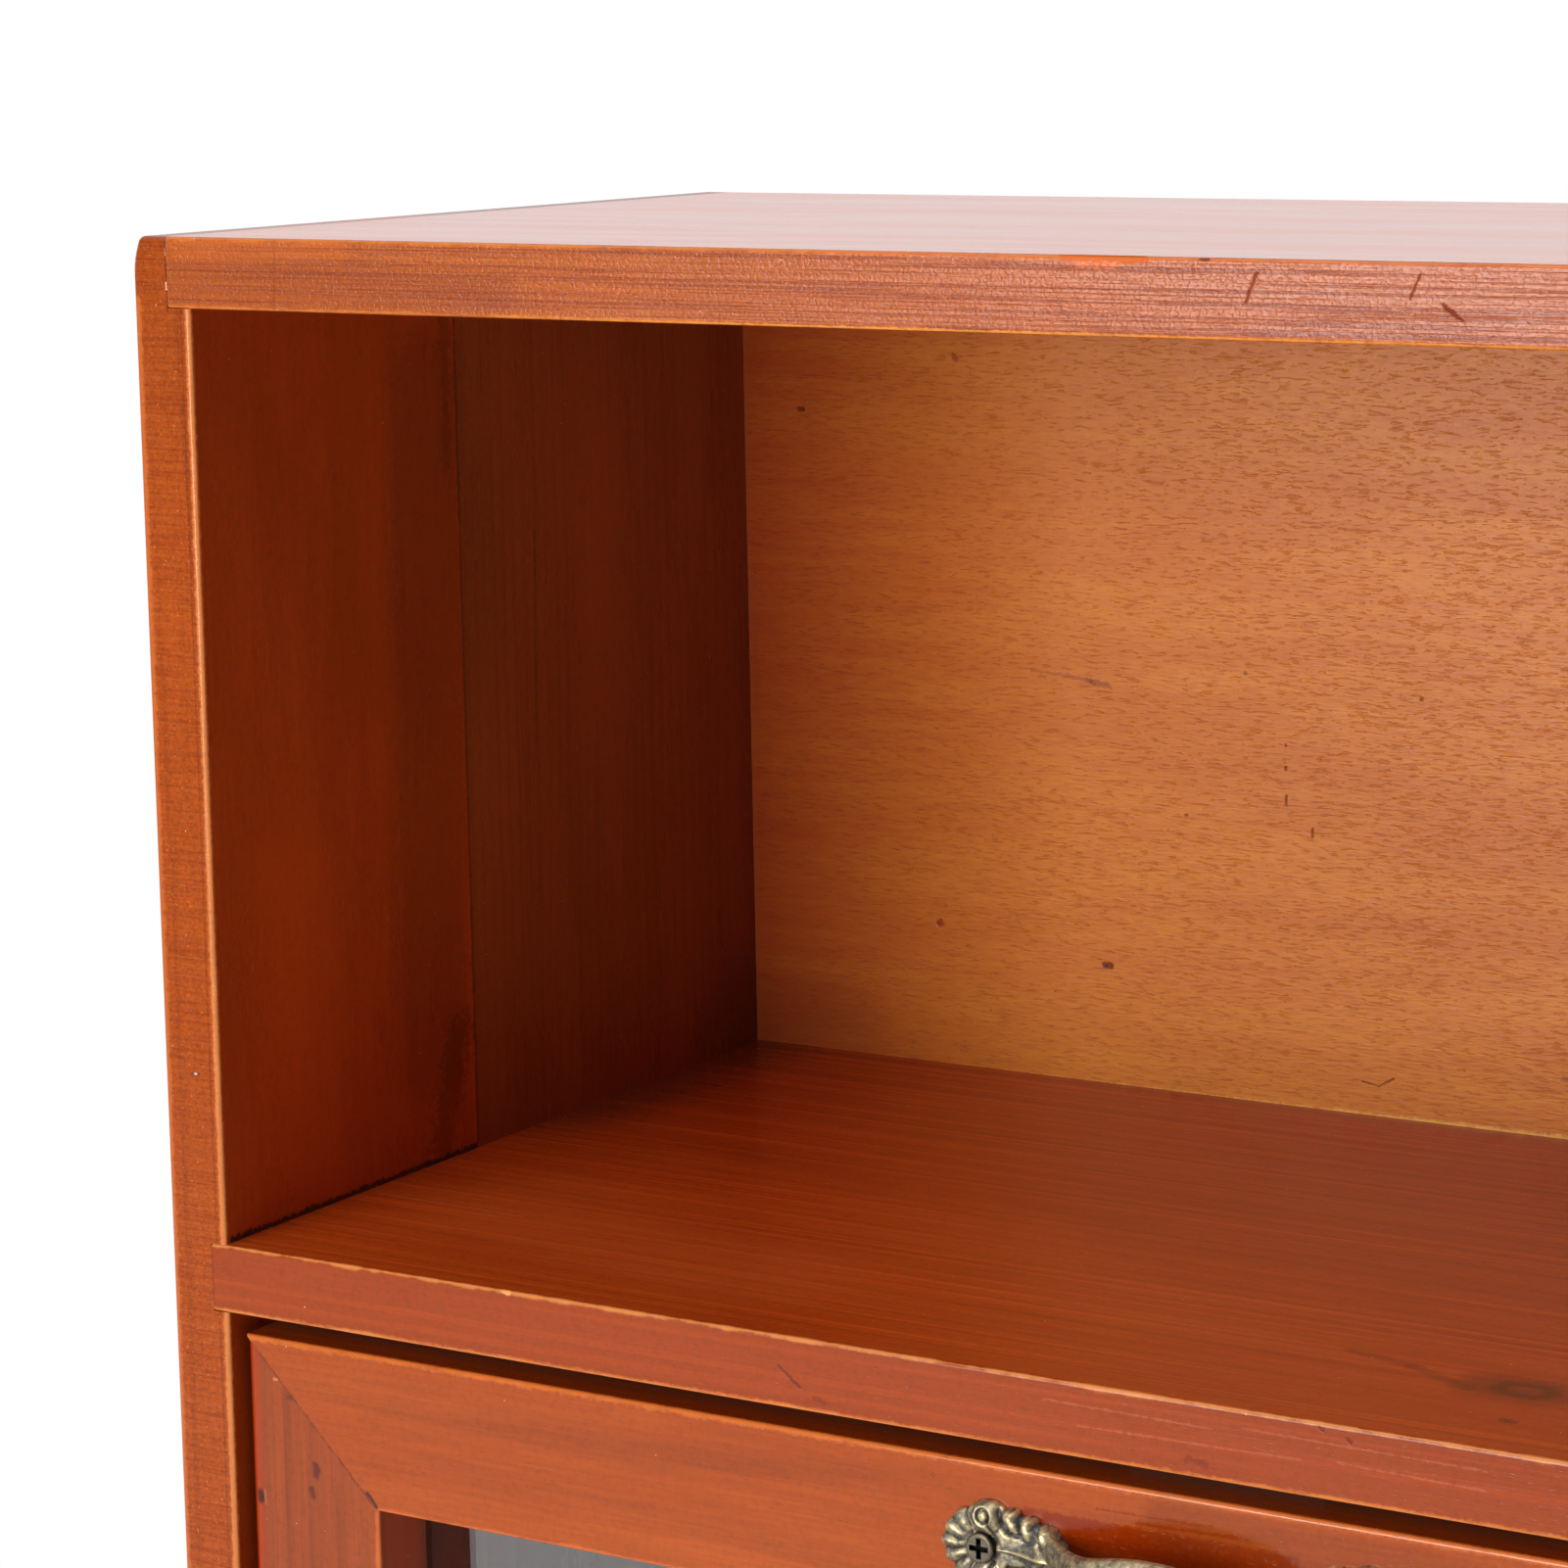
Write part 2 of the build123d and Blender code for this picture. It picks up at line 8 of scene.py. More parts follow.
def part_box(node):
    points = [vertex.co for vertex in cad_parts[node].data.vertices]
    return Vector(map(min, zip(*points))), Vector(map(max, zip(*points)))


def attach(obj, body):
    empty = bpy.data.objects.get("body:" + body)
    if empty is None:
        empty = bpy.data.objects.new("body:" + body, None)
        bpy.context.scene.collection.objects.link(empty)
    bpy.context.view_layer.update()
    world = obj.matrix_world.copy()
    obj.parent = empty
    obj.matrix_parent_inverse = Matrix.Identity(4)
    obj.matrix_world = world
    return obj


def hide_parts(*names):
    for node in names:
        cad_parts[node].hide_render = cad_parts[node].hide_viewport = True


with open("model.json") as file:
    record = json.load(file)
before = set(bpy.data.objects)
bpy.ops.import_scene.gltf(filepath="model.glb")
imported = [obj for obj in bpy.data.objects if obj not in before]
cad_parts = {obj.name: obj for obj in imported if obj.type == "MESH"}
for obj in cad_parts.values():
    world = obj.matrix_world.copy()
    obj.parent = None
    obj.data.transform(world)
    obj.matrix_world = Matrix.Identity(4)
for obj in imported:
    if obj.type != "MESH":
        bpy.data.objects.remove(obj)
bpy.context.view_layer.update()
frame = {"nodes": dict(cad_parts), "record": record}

# ------------------------------------------------------------------ camera
# A long lens from the front right, a little above the top board, close in on the open bay. It is shifted
# so that its axis meets the frame right of the middle and above it.

lens_pixels = 4484.8                 # focal length in pixels of the square frame
frame_pixels = 1601
axis_pixel = (1060, 645)             # where the lens axis meets the frame
eye_point = (0.29778, -0.65700, 0.53703)
yaw, pitch, roll = (math.radians(angle) for angle in (29.208, -8.154, 0.660))


def add(name, data):
    """A new object in the scene."""
    made = bpy.data.objects.new(name, data)
    bpy.context.scene.collection.objects.link(made)
    return made


eye = bpy.data.cameras.new("eye")
eye.sensor_width = 36
eye.lens = lens_pixels / frame_pixels * eye.sensor_width
eye.shift_x = (frame_pixels / 2 - axis_pixel[0]) / frame_pixels
eye.shift_y = (axis_pixel[1] - frame_pixels / 2) / frame_pixels
eye.clip_start, eye.clip_end = 0.05, 50
camera = add("camera", eye)
camera.matrix_world = (Matrix.Translation(eye_point)
                       @ Matrix.Rotation(yaw, 4, "Z") @ Matrix.Rotation(pitch, 4, "X")
                       @ Matrix.Rotation(roll, 4, "Y") @ Matrix.Rotation(math.radians(90), 4, "X"))
bpy.context.scene.camera = camera

# ------------------------------------------------------------------ sides
# Each side is two pine boards glued edge to edge, planed, stained red-brown and lacquered.
# The stain is rubbed off the arrises, and saw marks cross the front edge. Grain runs upright.


def put(tree, kind, *feeds, **settings):
    """One shader node: its settings by name, and what goes into its sockets as (socket, link or value)."""
    made = tree.nodes.new("ShaderNode" + kind)
    for name, value in settings.items():
        setattr(made, name, value)
    for socket, feed in feeds:
        if isinstance(feed, bpy.types.NodeSocket):
            tree.links.new(feed, made.inputs[socket])
        else:
            made.inputs[socket].default_value = feed
    return made


def calc(tree, operation, *values, clamp=False):
    """The result of one Math node."""
    return put(tree, "Math", *enumerate(values), operation=operation, use_clamp=clamp).outputs[0]


def move(tree, operation, *values):
    """The vector that one Vector Math node gives."""
    return put(tree, "VectorMath", *enumerate(values), operation=operation).outputs[0]


def measure(tree, operation, *values):
    """The number that one Vector Math node gives: a length, a distance or a dot product."""
    return put(tree, "VectorMath", *enumerate(values), operation=operation).outputs["Value"]


def split(tree, vector):
    """The three numbers of a vector."""
    return put(tree, "SeparateXYZ", (0, vector)).outputs


def fade(tree, value, start, end):
    """0 where value is at start and 1 where it is at end, smoothly."""
    made = put(tree, "MapRange", ("Value", value), ("From Min", start), ("From Max", end),
               interpolation_type="SMOOTHSTEP")
    return made.outputs["Result"]


def noise(tree, point, stretch, detail=2.0, roughness=0.5, colour=False):
    """Noise of a point in millimetres, with so many bumps to the millimetre along each axis."""
    made = put(tree, "TexNoise", ("Vector", move(tree, "MULTIPLY", point, stretch)), ("Scale", 1.0),
               ("Detail", detail), ("Roughness", roughness))
    return made.outputs["Color" if colour else "Fac"]


def colour(red, green, blue):
    """A colour as paint charts give it, 0 to 255, for a shader."""
    return tuple((v / 255 / 12.92 if v < 11 else ((v / 255 + 0.055) / 1.055) ** 2.4)
                 for v in (red, green, blue)) + (1.0,)


def blend(tree, amount, under, over):
    """One colour over another."""
    made = put(tree, "Mix", ("Factor", amount), (6, under), (7, over), data_type="RGBA")
    return made.outputs[2]


def tint(tree, tone, mask, strength, shade):
    """A paint-chart shade over a tone where a mask shows, at a given strength."""
    return blend(tree, calc(tree, "MULTIPLY", mask, strength), tone, colour(*shade))


def group(name, inputs, outputs):
    """A new node group with named vector or number inputs and number outputs."""
    tree = bpy.data.node_groups.new(name, "ShaderNodeTree")
    for label, kind in inputs:
        tree.interface.new_socket(label, in_out="INPUT", socket_type="NodeSocket" + kind)
    for label in outputs:
        tree.interface.new_socket(label, in_out="OUTPUT", socket_type="NodeSocketFloat")
    return tree, tree.nodes.new("NodeGroupInput").outputs, tree.nodes.new("NodeGroupOutput").inputs


def use(tree, name, *feeds):
    """The outputs of a node group placed in a tree."""
    return put(tree, "Group", *feeds, node_tree=bpy.data.node_groups[name]).outputs


def pine_group():
    """Growth rings round a pith, fibres, uneven stain, pores and dust. X of the point is along the grain."""
    tree, given, result = group(
        "pine", [("Point", "Vector"), ("Pith", "Vector"), ("Ring", "Float"), ("Waver", "Float")],
        ["Rings", "Fibres", "Streaks", "Clouds", "Pores", "Dust"])
    point = given["Point"]
    drift = noise(tree, point, (0.006, 0.03, 0.03), colour=True)
    drift = move(tree, "SCALE", move(tree, "SUBTRACT", drift, (0.5, 0.5, 0.5)))
    tree.links.new(given["Waver"], drift.node.inputs["Scale"])
    across = move(tree, "MULTIPLY", move(tree, "ADD", move(tree, "SUBTRACT", point, given["Pith"]), drift),
                  (0.0, 1.0, 1.0))
    turns = calc(tree, "DIVIDE", measure(tree, "LENGTH", across), given["Ring"])
    uneven = noise(tree, point, (0.0012, 0.014, 0.014), detail=1.0)
    turns = calc(tree, "ADD", turns, calc(tree, "MULTIPLY", uneven, 6.0))
    part = calc(tree, "FRACT", turns)
    late = calc(tree, "MULTIPLY", fade(tree, part, 0.45, 0.84), fade(tree, part, 1.0, 0.88))
    strength = fade(tree, noise(tree, point, (0.004, 0.16, 0.16), detail=2.0), 0.36, 0.66)
    tree.links.new(calc(tree, "MULTIPLY", late, strength), result["Rings"])
    fibres = noise(tree, point, (0.05, 1.7, 1.7), detail=3.0, roughness=0.65)
    tree.links.new(fade(tree, fibres, 0.3, 0.7), result["Fibres"])
    streaks = noise(tree, point, (0.004, 0.7, 0.7), detail=2.0)
    tree.links.new(fade(tree, streaks, 0.5, 0.66), result["Streaks"])
    clouds = noise(tree, point, (0.014, 0.075, 0.075), detail=4.0, roughness=0.6)
    tree.links.new(fade(tree, clouds, 0.28, 0.72), result["Clouds"])
    pores = noise(tree, point, (0.7, 4.2, 4.2), detail=1.0)
    tree.links.new(fade(tree, pores, 0.67, 0.76), result["Pores"])
    cells = put(tree, "TexVoronoi", ("Vector", point), ("Scale", 0.2), feature="F1")
    few = calc(tree, "GREATER_THAN", split(tree, cells.outputs["Color"])[0], 0.55)
    speck = fade(tree, cells.outputs["Distance"], 0.036, 0.02)
    tree.links.new(calc(tree, "MULTIPLY", few, speck), result["Dust"])


def arris_group():
    """Where stain and lacquer are rubbed thin along the edges of a board, given by two corners of a box."""
    tree, given, result = group(
        "arris", [("Point", "Vector"), ("Low", "Vector"), ("High", "Vector"), ("Width", "Float")], ["Rubbed"])
    inside = move(tree, "MINIMUM", move(tree, "SUBTRACT", given["Point"], given["Low"]),
                  move(tree, "SUBTRACT", given["High"], given["Point"]))
    near = split(tree, inside)
    middle = calc(tree, "MAXIMUM", calc(tree, "MINIMUM", near[0], near[1]),
                  calc(tree, "MINIMUM", calc(tree, "MAXIMUM", near[0], near[1]), near[2]))
    wander = noise(tree, given["Point"], (0.11, 0.11, 0.11), detail=5.0, roughness=0.7)
    ragged = calc(tree, "SUBTRACT", calc(tree, "MULTIPLY", wander, 3.4), 0.7)
    reach = calc(tree, "MULTIPLY", given["Width"], calc(tree, "MAXIMUM", ragged, 0.15))
    tree.links.new(fade(tree, calc(tree, "DIVIDE", middle, reach), 1.0, 0.1), result["Rubbed"])


def mark_group():
    """A scratch, knot, glue line, chip, painted shade or painted light between two points, its outline ragged
    by a wandering number.
    """
    tree, given, result = group(
        "mark", [("Point", "Vector"), ("From", "Vector"), ("To", "Vector"), ("Width", "Float"),
                 ("Ragged", "Float"), ("Wander", "Float")], ["Mask"])
    run = move(tree, "SUBTRACT", given["To"], given["From"])
    away = move(tree, "SUBTRACT", given["Point"], given["From"])
    share = calc(tree, "DIVIDE", measure(tree, "DOT_PRODUCT", away, run),
                 measure(tree, "DOT_PRODUCT", run, run), clamp=True)
    foot = move(tree, "SCALE", run)
    tree.links.new(share, foot.node.inputs["Scale"])
    off = calc(tree, "ADD", measure(tree, "DISTANCE", away, foot),
               calc(tree, "MULTIPLY", given["Wander"], given["Ragged"]))
    tree.links.new(fade(tree, calc(tree, "DIVIDE", off, given["Width"]), 1.0, 0.35), result["Mask"])


pine_group()
arris_group()
mark_group()


def new_material(name):
    """An empty node material: itself, its tree, and the point on the piece in millimetres of the frame."""
    material = bpy.data.materials.new(name)
    material.use_nodes = True
    tree = material.node_tree
    tree.nodes.clear()
    return material, tree, move(tree, "MULTIPLY", put(tree, "TexCoord").outputs["Object"], (1000, 1000, 1000))


def on_face(axis, level, *marks):
    """Marks on one flat face, whose points leave out the face's own level on axis 0, 1 or 2."""
    return tuple((shade, strength, start[:axis] + (level,) + start[axis:], end[:axis] + (level,) + end[axis:],
                  width, ragged) for shade, strength, start, end, width, ragged in marks)


def lay_marks(tree, point, tone, height, marks):
    """Lay marks on a surface: each is a shade, how strong, from, to, half width and raggedness.

    The height that comes back is sunk where a mark is narrow and strong, as a scratch is, and not where it
    is only a stain. Measures are in millimetres."""
    wander = calc(tree, "SUBTRACT", noise(tree, point, (0.9, 0.9, 0.9), detail=4.0, roughness=0.7), 0.5)
    for shade, strength, start, end, width, ragged in marks:
        mask = use(tree, "mark", ("Point", point), ("From", start), ("To", end), ("Width", width),
                   ("Ragged", ragged * 2), ("Wander", wander))[0]
        tone = tint(tree, tone, mask, strength, shade)
        if strength > 0.65 and width < 1.2:
            height = calc(tree, "SUBTRACT", height, calc(tree, "MULTIPLY", mask, 1.5))
    return tone, height


front_edge = -86                     # the front edges of the carcass boards, in millimetres
dust = (226, 178, 140)


def stained_pine(name, along, log, pith, deep, pale, edge, edges=None, rubbed=(214, 122, 48), rub=0.8,
                 ring=2.4, waver=5.0, lines=0.4, streaks=0.2, fibres=0.16, grain_depth=0.00003,
                 edge_depth=0.00005, rough=0.26, edge_rough=0.2, edge_lines=1.0, sawn=0.0, saw_run=0.05,
                 gloss=1.4, marks=()):
    """Stained and lacquered pine for one board: its face between two tones, its front edge towards a third.

    Along is the way of the grain, log and pith say where in the tree the board was cut, and edges gives the
    corners of the box whose edges are rubbed. Depths are in metres."""
    material, tree, point = new_material(name)
    axes = split(tree, point)
    order = {"X": (0, 1, 2), "Z": (2, 0, 1)}[along]
    grain = put(tree, "CombineXYZ", *((k, axes[order[k]]) for k in range(3))).outputs[0]
    grain = move(tree, "ADD", grain, log)
    wood = use(tree, "pine", ("Point", grain), ("Pith", pith), ("Ring", ring), ("Waver", waver))
    low, high = (corner * 1000 for corner in (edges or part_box(name)))
    past_end = 500                   # the ends of the grain stay unrubbed
    low[order[0]] -= past_end
    high[order[0]] += past_end
    worn = use(tree, "arris", ("Point", point), ("Low", low), ("High", high), ("Width", rub))[0]
    on_edge = fade(tree, axes[1], front_edge + 1.0, front_edge + 0.4)
    ink = tuple(v * 0.55 for v in deep)

    tone = blend(tree, wood["Clouds"], colour(*deep), colour(*pale))
    tone = tint(tree, tone, on_edge, 0.85, edge)
    paler = calc(tree, "SUBTRACT", streaks, calc(tree, "MULTIPLY", on_edge, streaks * 0.8))
    tone = tint(tree, tone, wood["Streaks"], paler, (v * 1.25 for v in pale))
    darker = calc(tree, "ADD", lines, calc(tree, "MULTIPLY", on_edge, lines * (edge_lines - 1)))
    tone = tint(tree, tone, wood["Rings"], darker, ink)
    tone = tint(tree, tone, calc(tree, "SUBTRACT", 1.0, wood["Fibres"]), fibres, ink)
    mottle = fade(tree, noise(tree, point, (0.8, 0.8, 0.8), detail=3.0, roughness=0.7), 0.46, 0.66)
    tone = tint(tree, tone, mottle, 0.16, ink)
    tone = tint(tree, tone, wood["Pores"], 0.3, ink)
    height = calc(tree, "SUBTRACT", calc(tree, "MULTIPLY", wood["Fibres"], 0.5), wood["Rings"])
    height = calc(tree, "SUBTRACT", height, wood["Pores"])

    if sawn:
        sawing = noise(tree, point, (saw_run, 0.05, 2.1), detail=3.0, roughness=0.7)
        ridges = calc(tree, "MULTIPLY", fade(tree, sawing, 0.47, 0.36), on_edge)
        cuts = calc(tree, "MULTIPLY", fade(tree, sawing, 0.5, 0.62), on_edge)
        tone = tint(tree, tone, ridges, sawn * 0.25, rubbed)
        tone = tint(tree, tone, cuts, sawn, (edge[0] * 0.7, edge[1] * 0.4, 0))
        grit = fade(tree, noise(tree, point, (1.5, 1.7, 1.7), detail=3.0), 0.42, 0.66)
        grit = calc(tree, "MULTIPLY", grit, on_edge)
        tone = tint(tree, tone, grit, 0.3, ink)
        height = calc(tree, "SUBTRACT", calc(tree, "SUBTRACT", height, cuts), grit)
        specks = fade(tree, noise(tree, point, (1.6, 1.2, 1.4), detail=1.0), 0.7, 0.76)
        tone = tint(tree, tone, calc(tree, "MULTIPLY", specks, on_edge), 0.5, rubbed)

    tone = tint(tree, tone, worn, 0.8, rubbed)
    whole = height
    tone, height = lay_marks(tree, point, tone, height, marks)
    torn = calc(tree, "SUBTRACT", whole, height)
    tone = tint(tree, tone, wood["Dust"], 0.6, dust)
    depth = calc(tree, "ADD", grain_depth, calc(tree, "MULTIPLY", on_edge, edge_depth - grain_depth))
    bump = put(tree, "Bump", ("Height", calc(tree, "MULTIPLY", height, calc(tree, "MULTIPLY", depth, 1000))),
               ("Distance", 0.001), ("Strength", 1.0))
    shine = calc(tree, "ADD", calc(tree, "MULTIPLY", on_edge, edge_rough - rough), rough)
    shine = calc(tree, "ADD", calc(tree, "MULTIPLY", wood["Clouds"], 0.04), shine)
    shine = calc(tree, "ADD", calc(tree, "MULTIPLY", torn, 0.4), shine, clamp=True)
    lacquer = put(tree, "BsdfPrincipled", ("Base Color", tone), ("Roughness", shine),
                  ("Normal", bump.outputs[0]), ("IOR", gloss))
    put(tree, "OutputMaterial", ("Surface", lacquer.outputs[0]))
    return material


def dress(name, material):
    """Give a CAD node its material."""
    slots = frame["nodes"][name].data.materials
    slots.clear()
    slots.append(material)


# The first colour serves dark joints and also painted shade; the third is painted shade in the back corner of
# the open bay.
soot_and_shade, umber, painted_corner_shade = (34, 12, 6), (92, 34, 14), (66, 44, 30)
side_face = -183                     # inner face of the left side
side_marks = (
    (soot_and_shade, 0.55, (side_face, -13, 320), (side_face, -13, 492), 0.45, 0.5),          # glue line
    (soot_and_shade, 0.3, (side_face, -16.5, 455), (side_face, -16, 486), 2.0, 3.0),
    (soot_and_shade, 0.4, (side_face, -24, 330), (side_face, -18, 350), 5.5, 7.0),
    # Darker in the back corner over the shelf: painted shade.
    (painted_corner_shade, 0.5, (side_face + 15, 84, 328), (side_face + 15, 78, 334), 26.0, 8.0),
    (soot_and_shade, 0.16, (side_face + 3, -60, 486), (side_face + 3, -30, 440), 46.0, 12.0),  # painted shade, darker towards the top under the top board
    # Darker by the glue line, easing the front board into the darker rear board: painted shade.
    (soot_and_shade, 0.3, (side_face, -26, 350), (side_face, -21, 470), 16.0, 8.0),
    # Lighter orange low at the front of the inner side: painted light.
    ((196, 74, 16), 0.45, (side_face + 15, -66, 338), (side_face + 15, -66, 385), 25.0, 6.0),
    (soot_and_shade, 0.9, (side_face, -84, 327.4), (side_face, -14, 327.4), 0.9, 1.3),        # painted shade in the corner over the shelf
    (soot_and_shade, 0.35, (side_face, 9, 400), (side_face, 10, 440), 0.5, 0.8),
) + on_face(
    1, front_edge,
    (umber, 0.4, (-184.8, 150), (-184.8, 489), 0.25, 0.4),          # where the plane lifted the edge
    # The pale line on the inner arris is a painted highlight.
    ((216, 132, 70), 0.6, (-183.2, 150), (-183.2, 489), 1.1, 0.6),
    ((190, 98, 44), 0.6, (-194.6, 150), (-194.2, 489), 1.3, 0.9),   # lacquer worn to gold
    (umber, 0.2, (-194, 411.9), (-183, 412.7), 0.6, 0.8),
    (umber, 0.15, (-194.2, 384.3), (-183.4, 385.3), 0.6, 0.8),
    (soot_and_shade, 0.6, (-187.6, 487.6), (-187.6, 500), 0.22, 0.3),         # joint with the top board
    # The pale flecks in the joint are painted glints.
    ((226, 164, 124), 0.8, (-187.7, 491.2), (-187.7, 492.3), 0.16, 0.3),
    ((226, 164, 124), 0.8, (-187.7, 496.8), (-187.7, 498.0), 0.13, 0.3),
    (umber, 0.6, (-188.6, 356.6), (-187.6, 356.6), 0.6, 0.2),       # pin knot with dust in it
    ((206, 178, 168), 0.8, (-188.2, 356.7), (-187.9, 356.7), 0.3, 0.1),
)
for side, log, marks in (("left", 0.0, side_marks), ("right", 700.0, ())):
    boxes = [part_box(f"side_{side}_{board}_board") for board in ("front", "rear")]
    outline = (Vector(map(min, *(box[0] for box in boxes))), Vector(map(max, *(box[1] for box in boxes))))
    # The rear board's tones are darker than the front board's: painted shade, darker towards the back of the
    # bay.
    for board, shift, deep, pale in (("front", 0.0, (158, 56, 14), (172, 66, 19)),
                                     ("rear", 260.0, (128, 56, 22), (140, 66, 28))):
        name = f"side_{side}_{board}_board"
        dress(name, stained_pine(
            name, "Z", (log + shift, shift, 0), (0, 60, -90), deep, pale, (158, 70, 13), outline,
            rubbed=(206, 116, 52), rub=0.5, ring=3.2, lines=0.12, edge_lines=2.0, streaks=0.05, fibres=0.12,
            sawn=0.32, edge_depth=0.00001, edge_rough=0.14, gloss=1.34, marks=marks))

# ------------------------------------------------------------------ top and bottom boards
# Pine boards along the cabinet, lapped onto the shoulders of the sides. Their front edges are left
# ridged by the saw under the lacquer, and an arris is chipped.

knock = (108, 30, 8)
scuff = (120, 108, 118)
top_face = 500
top_marks = on_face(
    1, front_edge,
    ((190, 84, 2), 0.95, (-17, 500.0), (-3, 499.7), 1.0, 0.8),      # chip out of the arris
    ((190, 84, 2), 0.95, (-14, 499.6), (-8, 499.4), 1.9, 1.4),
) + (
    ((96, 20, 0), 0.8, (-16, -85.6, 500.3), (-3, -85.6, 500.2), 0.5, 0.5),
) + on_face(
    1, front_edge,
    ((224, 146, 62), 0.6, (-120, 488.1), (180, 488.1), 0.5, 0.5),
    ((200, 100, 44), 0.5, (-60, 499.8), (80, 499.8), 0.6, 0.8),
    (umber, 0.9, (6.2, 499.8), (7.6, 499.8), 0.45, 0.4),
    (knock, 0.75, (15.4, 498.0), (13.7, 493.7), 0.28, 0.6),         # knocks and scratches
    (knock, 0.75, (41.3, 498.2), (39.7, 494.7), 0.26, 0.6),
    ((96, 24, 6), 0.8, (44.6, 494.1), (47.8, 491.8), 0.3, 0.7),
    ((120, 40, 14), 0.6, (-17.8, 493.0), (-15.4, 490.6), 0.26, 0.5),
    ((110, 45, 20), 0.5, (-186, 498.6), (-181, 498.3), 0.22, 0.3),
    (umber, 0.35, (-164.5, 500), (-165, 488), 0.35, 0.6),
    ((190, 92, 22), 0.25, (-184, 498.2), (-152, 498.6), 3.4, 3.0),  # light and dark grain at the left end
    ((120, 46, 10), 0.4, (-186, 493.0), (-120, 492.0), 5.4, 3.0),
) + on_face(
    2, top_face,
    (scuff, 0.35, (-34, -36), (-31, -34), 1.6, 2.0),
    (scuff, 0.3, (-28, -21), (-24, -20), 1.2, 1.6),
)
for name, log, pith_level, marks in (("top_board", 0.0, 380, top_marks), ("bottom_board", 900.0, -108, ())):
    dress(name, stained_pine(
        name, "X", (log, 0, 0), (0, -60, pith_level), (198, 68, 12), (218, 86, 18), (156, 79, 20),
        rub=0.7, ring=1.5, waver=3.0, lines=0.16, streaks=0.1, grain_depth=0.000006, edge_depth=0.00003,
        rough=0.15, edge_rough=0.17, sawn=0.6, saw_run=0.014, marks=marks))

# ------------------------------------------------------------------ shelves
# Pine shelves let into grooves in the sides. The upper one is the floor of the open bay: it has a knot,
# painted shade in the back corner along the side, painted light by the left end, and a worn and scratched
# front edge.

dent = (104, 30, 10)
scratch = (196, 112, 80)
shelf_top = 327
shelf_marks = on_face(
    2, shelf_top,
    ((112, 42, 14), 0.7, (41.5, -58), (50.5, -58), 9.5, 2.0),       # knot
    ((70, 24, 9), 0.85, (44.5, -58), (48.5, -58), 5.2, 1.2),
    ((128, 52, 20), 0.8, (45.4, -58), (47.8, -58), 2.6, 1.2),
    (soot_and_shade, 0.6, (49, -72.5), (50.5, -73), 1.3, 1.0),
    ((96, 36, 14), 0.4, (14, -52), (26, -54.7), 1.6, 0.8),
    ((96, 36, 14), 0.4, (26, -54.7), (38, -61), 1.8, 0.8),
) + on_face(
    2, shelf_top + 14,
    (painted_corner_shade, 0.75, (-186, 82), (-186, 20), 30.0, 5.0),               # painted shade in the back corner, along the side
    ((206, 104, 48), 0.22, (-150, -44), (-96, -58), 34.0, 6.0),     # lighter by the left end, towards the front: painted light
) + (
    ((190, 108, 60), 0.6, (-180.4, -47, shelf_top), (-148, -48, shelf_top), 0.3, 0.4),
) + on_face(
    1, front_edge,
    ((224, 150, 90), 0.9, (-124.6, 327), (-123.4, 326.7), 0.6, 0.5),
    (dent, 0.75, (-70.5, 321.8), (-66.6, 318.9), 0.55, 0.9),
    (dent, 0.5, (-64, 317.6), (-62, 316.8), 0.5, 0.8),
    (dent, 0.6, (3, 317.8), (6, 317.6), 0.8, 1.4),
    (dent, 0.7, (25.0, 326.2), (25.6, 325.8), 0.4, 0.4),
    (dent, 0.7, (29.6, 325.0), (30.4, 324.6), 0.5, 0.6),
    (scratch, 0.22, (-22, 323.6), (8, 323.2), 0.22, 0.5),
    (scratch, 0.22, (12, 324.1), (52, 323.6), 0.22, 0.5),
    (scratch, 0.22, (-16, 320.2), (22, 320.7), 0.22, 0.5),
    (scratch, 0.22, (28, 321.2), (52, 320.6), 0.22, 0.5),
    (soot_and_shade, 0.5, (-186, 315), (-186, 327), 0.22, 0.2),               # joint with the side
    ((206, 114, 48), 0.4, (-186, 315.2), (186, 315.2), 0.8, 0.8),   # pale along the foot
)
for name, log, marks in (("open_bay_shelf", 300.0, shelf_marks), ("middle_shelf", 1500.0, ())):
    low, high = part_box(name)
    dress(name, stained_pine(
        name, "X", (log, 0, 0), (0, 190, low.z * 1000 - 60), (170, 64, 16), (184, 75, 22), (136, 53, 11),
        (low, high + Vector((0, 0.1, 0))), rubbed=(222, 140, 72), ring=4.0, lines=0.25, streaks=0.38,
        fibres=0.12, grain_depth=0.00001, edge_depth=0.00002, rough=0.2, gloss=1.37, marks=marks))

# ------------------------------------------------------------------ back panel
# Thin plywood with a rotary-cut face, let into a rebate and nailed from behind. The open pores of the
# veneer took more stain, and a strip at the foot stayed bare.

panel_face = 83


